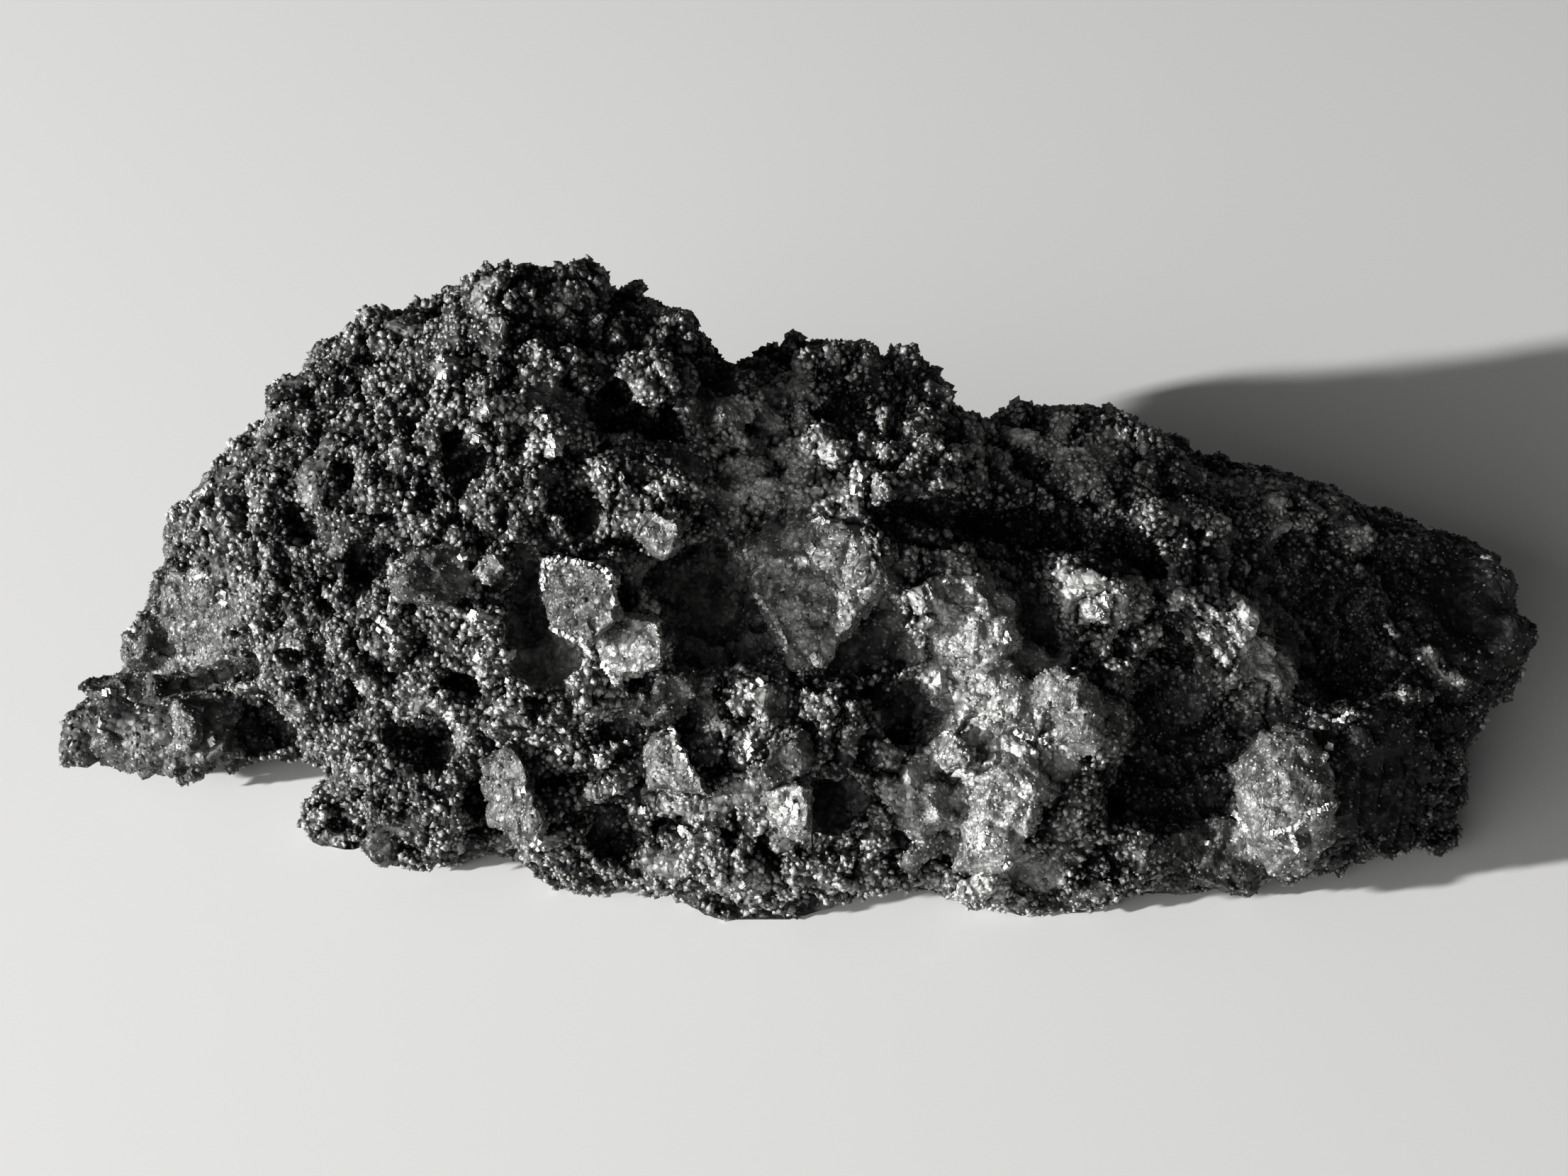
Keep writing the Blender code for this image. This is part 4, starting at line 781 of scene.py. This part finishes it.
def clusters_at(points, dice):
    """How far the clusters of grains raise the skin at each point."""
    count = int(len(points) * SKIN_VOXEL ** 2 / CLUSTER_SPACING ** 2)
    middles = points[dice.choice(len(points), count, replace=False)]
    tree = kd_tree(middles)
    found = [tree.find(p) for p in points]
    nearest = np.array([f[1] for f in found])
    away = np.array([f[2] for f in found]) / CLUSTER_SPACING
    slopes = dice.normal(0, CLUSTER_LEAN, (count, 3))
    rises = dice.normal(0, CLUSTER_RISE, count)
    tilt = ((points - middles[nearest]) * slopes[nearest]).sum(1)
    return rises[nearest] + tilt - CLUSTER_BULGE * (2 * np.minimum(away, CLUSTER_END)) ** 2


def lumps_at(points):
    """How far the lumps of the skin, and the clefts between them, raise or lower each point."""
    wander = np.abs(noise_at(points, "cleft") + CLEFT_WANDER * noise_at(points, "fine cleft"))
    lump = np.sqrt(np.clip(wander / LUMP_EDGE, 0, 1))
    return LUMP_RISE * lump - CLEFT_DEPTH * np.clip(1 - wander / CLEFT_WIDTH, 0, 1)


def add_knob(heap, solid, right, up, wide, high, proud):
    """Adds an egg-shaped knob whose nearest point stands proud of the solid."""
    deep = 0.5 * (wide + high)
    line = sight_line(right, up)
    middle = EYE + line * (sight_depth(solid, right, up) - proud + deep)
    turn = Matrix((SIGHT_RIGHT * wide, SIGHT_UP * high, SIGHT_BACK * deep)).transposed().to_4x4()
    bmesh.ops.create_icosphere(heap, subdivisions=3, radius=1.0,
                               matrix=Matrix.Translation(middle) @ turn)


def front_share(points, normals):
    """1 where the photographer sees the skin, 0 where it faces away."""
    sight = np.array(EYE) - points
    return ((normals * sight).sum(1) > 0).astype(float)


def build_skin(solid, dice):
    """The CAD mass with its knobs, moulds, lumps and clefts."""
    heap = cad_mass()
    for *place, _ in KNOBS:
        add_knob(heap, solid, *place)
    skin = object_from(heap, "silver_skin")
    fuse(skin, SKIN_VOXEL)
    points = carve_slopes(trim_skyline(points_of(skin.data)), solid)
    set_points(skin.data, carve_moulds(points, solid, dice))
    fuse(skin, SKIN_VOXEL)
    points, normals = points_of(skin.data), normals_of(skin.data)
    front = front_share(points, normals)
    pale, calm = zone_at(points, front)
    bare = bare_at(points, calm, front)
    leaves = leaves_at(points, front)
    pale += LEAF_TONE * leaves
    height = clusters_at(points, dice) + lumps_at(points) + SKIN_RELIEF * noise_at(points, "skin relief")
    height -= np.percentile(height, SKIN_LEVEL)
    hidden = np.clip(HOLLOW_RATE * (BARE_BELOW - height), 0, HOLLOW_BARE)
    bare = np.maximum(bare, hidden * (1 - calm))
    pale += np.clip(HOLLOW_RATE * (height - DARK_BELOW), DARKEST, HIGH_TONE) * (1 - calm)
    rise = height * (1 - CALM_FLAT * calm) + leaves - SHRINK
    points += normals * (rise * np.clip(points[:, 2] / SOLE_HEIGHT, 0, 1))[:, None]
    points[:, 2] = np.maximum(points[:, 2], 0.0)
    set_points(skin.data, points)
    thin(skin, SKIN_FACES)
    thinned = points_of(skin.data)
    tree = kd_tree(points)
    nearest = np.array([tree.find(place)[1] for place in thinned])
    skin_pale = np.clip(pale - SKIN_SHADE * (1 - calm), DARKEST, 1)
    add_values(skin, grain_pale=np.clip(pale, -1, 1)[nearest], pale=skin_pale[nearest],
               calm=calm[nearest], bare=bare[nearest], polish=polish_at(thinned, "skin polish"))
    return skin


def add_plate(heap, solid, sides, lean, tilt, proud, outline):
    """Adds a block with a face of this outline, and with these sides."""
    middle = centre_of(outline)
    line = sight_line(*middle)
    depth = sight_depth(solid, *middle)
    face_point = EYE + line * (depth - proud)
    normal = (SIGHT_BACK + math.tan(math.radians(lean)) * SIGHT_RIGHT
              + math.tan(math.radians(tilt)) * SIGHT_UP)
    face = [intersect_line_plane(EYE, EYE + sight_line(*p), face_point, normal) for p in outline]
    rings = []
    for width, back in sides:
        ring = [face_point + (corner - face_point) * width + line * back for corner in face]
        rings.append([heap.verts.new(corner) for corner in ring])
    faces = [heap.faces.new(rings[0]), heap.faces.new(rings[-1][::-1])]
    for upper, lower in zip(rings, rings[1:]):
        for i in range(len(face)):
            faces.append(heap.faces.new((upper[i], upper[i - 1], lower[i - 1], lower[i])))
    bmesh.ops.recalc_face_normals(heap, faces=faces)


def build_plates(solid):
    """The flat-faced crystals and the rounded lumps, with worn edges and a creased, fine skin."""
    heap = bmesh.new()
    for table, sides in ((PLATES, PLATE_SIDES), (LUMPS, LUMP_SIDES)):
        for lean, tilt, proud, _, outline in table:
            add_plate(heap, solid, sides, lean, tilt, proud, outline)
    plates = object_from(heap, "crystal_plates")
    fuse(plates, PLATE_VOXEL)
    points, normals = points_of(plates.data), normals_of(plates.data)
    right, up = seen_at(points)
    creases = CREASE_RISE * np.abs(noise_at(points, "crease"))
    rough = creases + PLATE_RELIEF * noise_at(points, "plate relief") - PLATE_WEAR
    sway = [EDGE_SWAY * noise_at(points, f"plate sway {axis}") for axis in "xyz"]
    worn = points + normals * rough[:, None] + np.stack(sway, axis=1)
    worn[:, 2] = np.maximum(worn[:, 2], 0.0)
    set_points(plates.data, worn)
    pale = np.zeros(len(points))
    for *_, paleness, outline in PLATES + LUMPS:
        pale = np.where(outside_by(outline, right, up) < PLATE_RIM, paleness, pale)
    pale += PLATE_TONE * noise_at(points, "plate tone")
    add_values(plates, pale=pale, grain_pale=pale, calm=np.full(len(points), PLATE_CALM),
               bare=np.zeros(len(points)), polish=polish_at(points, "plate polish"))
    return plates


def grain_places(skin, spacing, dice):
    """Points spread evenly over the skin, with its direction and its nearest vertex at each."""
    mesh = skin.data
    mesh.calc_loop_triangles()
    corners = read(mesh.loop_triangles, "vertices", 3, np.int32)
    tri = points_of(mesh)[corners]
    cross = np.cross(tri[:, 1] - tri[:, 0], tri[:, 2] - tri[:, 0])
    area = np.linalg.norm(cross, axis=1)
    weight = area * (1 - values_of(skin, "bare")[corners[:, 0]]) * (tri[:, 0, 2] > GRAIN_LOWEST)
    picked = dice.choice(len(tri), GRAIN_TRIES, p=weight / weight.sum())
    a, b = dice.random((2, GRAIN_TRIES))
    over = a + b > 1
    a[over], b[over] = 1 - a[over], 1 - b[over]
    tri = tri[picked]
    points = tri[:, 0] + a[:, None] * (tri[:, 1] - tri[:, 0]) + b[:, None] * (tri[:, 2] - tri[:, 0])
    cells = np.floor(points / spacing).astype(int)
    kept = dice.permutation(np.unique(cells, axis=0, return_index=True)[1])
    return points[kept], cross[picked[kept]] / area[picked[kept]][:, None], corners[picked[kept], 0]


def random_turns(count, dice):
    """Rotation matrices, spread evenly over all directions."""
    q = dice.normal(size=(count, 4))
    w, x, y, z = (q / np.linalg.norm(q, axis=1)[:, None]).T
    rows = [[1 - 2 * (y * y + z * z), 2 * (x * y - w * z), 2 * (x * z + w * y)],
            [2 * (x * y + w * z), 1 - 2 * (x * x + z * z), 2 * (y * z - w * x)],
            [2 * (x * z - w * y), 2 * (y * z + w * x), 1 - 2 * (x * x + y * y)]]
    return np.array(rows).transpose(2, 0, 1)


def grain_mesh(kind, middles, sizes, turns, name, dice):
    """Skewed crystals of one kind in one mesh. sizes gives each one's three widths."""
    corners, faces = GRAINS[kind]
    count = len(middles)
    skew = dice.uniform(-GRAIN_SKEW, GRAIN_SKEW, (count, len(corners), 3))
    turned = (corners[None] * (1 + skew) * sizes[:, None]) @ turns.transpose(0, 2, 1)
    points = (middles[:, None] + turned).reshape(-1, 3)
    points[:, 2] = np.maximum(points[:, 2], 0.0)
    faces = faces[None] + len(corners) * np.arange(count)[:, None, None]
    return object_of(points, faces.reshape(-1, faces.shape[-1]), name)


def keep_for_grains(grains, tone, dice):
    """Keeps each grain's paleness, and draws and keeps its polish."""
    corners = len(grains.data.vertices) // len(tone)
    polish = dice.random(len(tone))
    add_values(grains, pale=np.repeat(tone, corners), polish=np.repeat(polish, corners))


def build_crust(skin, places, median, name, dice):
    """One crust of small grains, sunk in the skin."""
    middles, normals, at = places
    pale, calm = values_of(skin, "grain_pale")[at], values_of(skin, "calm")[at]
    size = median * np.exp(dice.normal(0, GRAIN_SPREAD, len(at))) * (1 - GRAIN_CALM * calm)
    mean, swing = GRAIN_REGION
    size = np.clip(size * (mean + swing * noise_at(middles, "grain size")), *GRAIN_SIZE)
    rise = dice.uniform(*GRAIN_RISE, len(at)) - GRAIN_CALM * calm
    middles = middles + normals * (size * rise)[:, None]
    sizes = size[:, None] * dice.uniform(*GRAIN_STRETCH, (len(at), 3))
    turns = random_turns(len(at), dice)
    crust = grain_mesh("octahedron", middles, sizes, turns, name, dice)
    tone = np.clip(pale + dice.normal(0, GRAIN_TONE, len(at)), *GRAIN_TONES)
    keep_for_grains(crust, tone, dice)
    crust.data.shade_smooth()
    return crust


def build_crusts(skin, plates, dice):
    """The grains on the skin, in several crusts, and one crust on the plates and lumps."""
    places = grain_places(skin, GRAIN_SPACING, dice)
    crusts = []
    for i in range(CRUSTS):
        lot = [values[i::CRUSTS] for values in places]
        crusts.append(build_crust(skin, lot, GRAIN_MEDIAN, f"grain_crust_{i + 1}", dice))
    places = grain_places(plates, PLATE_GRAIN_SPACING, dice)
    last = f"grain_crust_{CRUSTS + 1}"
    crusts.append(build_crust(plates, places, PLATE_GRAIN_MEDIAN, last, dice))
    return crusts


def bright_spots(dice):
    """The right, up and width of each bright crystal of the glints and the rows of beads."""
    spots = []
    for right, up, wide, high in GLINTS:
        for _ in range(max(1, round(wide * high / GLINT_SIZE ** 2))):
            x, y = dice.uniform(-0.5, 0.5, 2) * (wide - GLINT_INSET, high - GLINT_INSET)
            spots.append((right + x, up + y, GLINT_SIZE))
    for row in BEAD_ROWS:
        for (x1, y1), (x2, y2) in zip(row, row[1:]):
            steps = max(2, int(math.hypot(x2 - x1, y2 - y1) / BEAD_STEP))
            for i in range(steps):
                x, y = dice.normal(0, BEAD_SCATTER, 2)
                spots.append((x1 + (x2 - x1) * i / steps + x, y1 + (y2 - y1) * i / steps + y, BEAD_SIZE))
    return spots


def bright_places(skin, plates, dice):
    """Where the bright crystals are, their three widths, and which way each is turned."""
    trees = []
    for piece in (skin, plates):
        heap = bmesh.new()
        heap.from_mesh(piece.data)
        trees.append(tree_of(heap))
    spots = bright_spots(dice)
    middles = []
    for right, up, _ in spots:
        depths = [tree.ray_cast(EYE, sight_line(right, up))[3] for tree in trees]
        depth = min((d for d in depths if d is not None), default=sight_depth(trees[0], right, up))
        middles.append(EYE + sight_line(right, up) * depth)
    widths = np.array([spot[2] for spot in spots])[:, None]
    sizes = widths * dice.uniform(*BRIGHT_STRETCH, (len(spots), 3))
    towards = (light_direction(*KEY[:2]) + SIGHT_BACK).normalized().to_track_quat("Z", "Y")
    turns = []
    for _ in spots:
        tilt = Euler((*dice.normal(0, BRIGHT_TILT, 2), dice.uniform(0, math.tau)))
        turns.append((towards @ tilt.to_quaternion()).to_matrix())
    return np.array(middles), sizes, np.array(turns)


def build_bright(skin, plates, dice):
    """The bright crystals: rows of beads on edges, and faces turned to the light."""
    middles, sizes, turns = bright_places(skin, plates, dice)
    bright = grain_mesh("cube", middles, sizes / CUBE_WIDTH, turns, "bright_crystals", dice)
    keep_for_grains(bright, dice.uniform(*BRIGHT_TONES, len(middles)), dice)
    return bright


def join(tree, node, inputs):
    """Sets a node's inputs to numbers, or joins them to other nodes' outputs."""
    for name, value in inputs.items():
        if isinstance(value, bpy.types.NodeSocket):
            tree.links.new(value, node.inputs[name])
        else:
            node.inputs[name].default_value = value


def node_of(tree, kind, inputs, **settings):
    """A new node with these inputs and properties."""
    node = tree.nodes.new(kind)
    for name, value in settings.items():
        setattr(node, name, value)
    join(tree, node, inputs)
    return node


def maths(tree, operation, *values):
    """A Math node's result."""
    node = node_of(tree, "ShaderNodeMath", dict(enumerate(values)), operation=operation)
    return node.outputs["Value"]


def vector_maths(tree, operation, *values, result="Vector"):
    """A Vector Math node's result."""
    node = node_of(tree, "ShaderNodeVectorMath", dict(enumerate(values)), operation=operation)
    return node.outputs[result]


def value_named(tree, name):
    return node_of(tree, "ShaderNodeAttribute", {}, attribute_name=name).outputs["Fac"]


def tone_of(tree, crystals, lot, stains, tones):
    """The colour: the piece's paleness, stains, each crystal's tone, and painted shade in the gaps."""
    tone = maths(tree, "MULTIPLY_ADD", stains, STAIN_TONE, value_named(tree, "pale"))
    tone = maths(tree, "MULTIPLY_ADD", lot, CRYSTAL_TONE, tone)
    # Painted shade: darker towards each crystal's edge, in the gaps between crystals.
    tone = maths(tree, "MULTIPLY_ADD", crystals.outputs["Distance"], GAP_PAINTED_SHADE, tone)
    low, high = TONE_SCALE
    spread = node_of(tree, "ShaderNodeMapRange", {"Value": tone, "From Min": low, "From Max": high})
    ramp = node_of(tree, "ShaderNodeValToRGB", {"Fac": spread.outputs["Result"]})
    steps = ramp.color_ramp.elements
    steps.remove(steps[1])
    for i, (position, value) in enumerate(tones):
        step = steps[0] if i == 0 else steps.new(position)
        step.position = position
        step.color = (value, value, value * WARMTH, 1)
    return ramp.outputs["Color"]


def roughness_of(tree, lot, smoothest, roughest):
    """The roughness: each crystal has its own gloss, and the piece's polish adds to it."""
    gloss = maths(tree, "MULTIPLY", lot, CRYSTAL_GLOSS)
    gloss = maths(tree, "MULTIPLY_ADD", value_named(tree, "polish"), PIECE_GLOSS, gloss)
    rough = node_of(tree, "ShaderNodeMapRange", {"Value": gloss, "To Min": roughest, "To Max": smoothest})
    return rough.outputs["Result"]


def relief_of(tree, place, crystals, stains, cell, relief):
    """The relief: each crystal bulges, and leans its own way."""
    away = vector_maths(tree, "SUBTRACT", place, crystals.outputs["Position"])
    lean = vector_maths(tree, "SUBTRACT", crystals.outputs["Color"], (0.5,) * 3)
    facet = vector_maths(tree, "DOT_PRODUCT", away, lean, result="Value")
    height = maths(tree, "MULTIPLY_ADD", crystals.outputs["Distance"], -CRYSTAL_BULGE * cell, facet)
    height = maths(tree, "MULTIPLY_ADD", stains, STAIN_RELIEF, height)
    calmed = maths(tree, "MULTIPLY_ADD", value_named(tree, "calm"), CALM_RELIEF, 1.0)
    height = maths(tree, "MULTIPLY", height, calmed)
    bump = node_of(tree, "ShaderNodeBump", {"Height": height, "Distance": relief * MM})
    return bump.outputs["Normal"]


def silver(name, tones, roughness, metallic, cell, relief):
    """Tarnished silver: a dark sulphide skin, thinner and paler where the silver is cleaner. The
    paleness that it reads also holds painted shade and painted light.

    Its surface is made of tiny crystals, cell millimetres wide, each with its own tilt, tone and
    gloss.
    """
    material = bpy.data.materials.new(name)
    material.use_nodes = True
    tree = material.node_tree
    where = node_of(tree, "ShaderNodeTexCoord", {}).outputs["Object"]
    place = vector_maths(tree, "MULTIPLY", where, (1 / MM,) * 3)
    crystals = node_of(tree, "ShaderNodeTexVoronoi", {"Vector": place, "Scale": 1 / cell})
    stains = node_of(tree, "ShaderNodeTexNoise", {
        "Vector": place, "Scale": 1 / STAIN_SIZE, "Detail": STAIN_DETAIL}).outputs["Fac"]
    lots = node_of(tree, "ShaderNodeSeparateColor", {"Color": crystals.outputs["Color"]}).outputs
    join(tree, tree.nodes["Principled BSDF"], {
        "Base Color": tone_of(tree, crystals, lots["Red"], stains, tones),
        "Metallic": metallic,
        "Roughness": roughness_of(tree, lots["Green"], *roughness),
        "Specular IOR Level": SHINE,
        "Normal": relief_of(tree, place, crystals, stains, cell, relief),
    })
    return material


def dress(pieces, kind):
    """Scales finished pieces to metres, and gives them their silver and body."""
    material = silver(f"{kind}_silver", *FINISHES[kind])
    for piece in pieces:
        piece.data.transform(Matrix.Scale(MM, 4))
        piece.data.materials.append(material)
        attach(piece, "root")


def lay_floor():
    half = FLOOR_HALF
    points = np.array([[-half, -half, 0], [half, -half, 0], [half, half, 0], [-half, half, 0]])
    floor = object_of(points, np.array([[0, 1, 2, 3]]), "floor")
    material = bpy.data.materials.new("pale_floor")
    material.use_nodes = True
    tree = material.node_tree
    look = {"Base Color": FLOOR_COLOUR, "Roughness": FLOOR_ROUGHNESS}
    join(tree, tree.nodes["Principled BSDF"], look)
    floor.data.materials.append(material)


def aim(obj, place, target):
    obj.location = place
    obj.rotation_mode = "QUATERNION"
    obj.rotation_quaternion = (Vector(target) - Vector(place)).to_track_quat("-Z", "Y")


def light_direction(turn, rise):
    turn, rise = math.radians(turn), math.radians(rise)
    return Vector((-math.cos(turn) * math.cos(rise), -math.sin(turn) * math.cos(rise),
                   math.sin(rise)))


def add_light(name, turn, rise, width, power):
    light = bpy.data.lights.new(name, "AREA")
    light.size = width
    light.energy = power
    place = LIT_PLACE + light_direction(turn, rise) * LIGHT_DISTANCE
    aim(add_object(light, name), place, LIT_PLACE)


def light_scene():
    """A light from the left, a weak soft one from the front, and weak even light all round."""
    add_light("key", *KEY)
    add_light("fill", *FILL)
    world = bpy.data.worlds.new("studio")
    world.use_nodes = True
    tree = world.node_tree
    join(tree, tree.nodes["Background"], {"Color": (1, 1, 1, 1), "Strength": AMBIENT_STRENGTH})
    bpy.context.scene.world = world
    bpy.context.scene.view_settings.view_transform = "Standard"


def set_camera():
    camera = bpy.data.cameras.new("camera")
    camera.sensor_width = SENSOR_WIDTH
    camera.lens = SENSOR_WIDTH / 2 / math.tan(FIELD_OF_VIEW / 2)
    camera.clip_start = NEAREST_SEEN
    obj = add_object(camera, "camera")
    aim(obj, EYE * MM, MIDDLE * MM)
    bpy.context.scene.camera = obj


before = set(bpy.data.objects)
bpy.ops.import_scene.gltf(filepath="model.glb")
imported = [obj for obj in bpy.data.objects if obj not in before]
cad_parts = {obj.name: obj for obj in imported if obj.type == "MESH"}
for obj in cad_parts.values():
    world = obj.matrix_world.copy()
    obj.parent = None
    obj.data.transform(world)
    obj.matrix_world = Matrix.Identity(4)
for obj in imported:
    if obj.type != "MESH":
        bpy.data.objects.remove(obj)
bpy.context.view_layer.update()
dice = np.random.default_rng(SEED)
solid = tree_of(cad_mass())
skin = build_skin(solid, dice)
plates = build_plates(solid)
crusts = build_crusts(skin, plates, dice)
bright = build_bright(skin, plates, dice)
dress([skin], "skin")
dress([plates], "plate")
dress(crusts, "grain")
dress([bright], "bright")
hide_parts("silver_mass")
lay_floor()
light_scene()
set_camera()
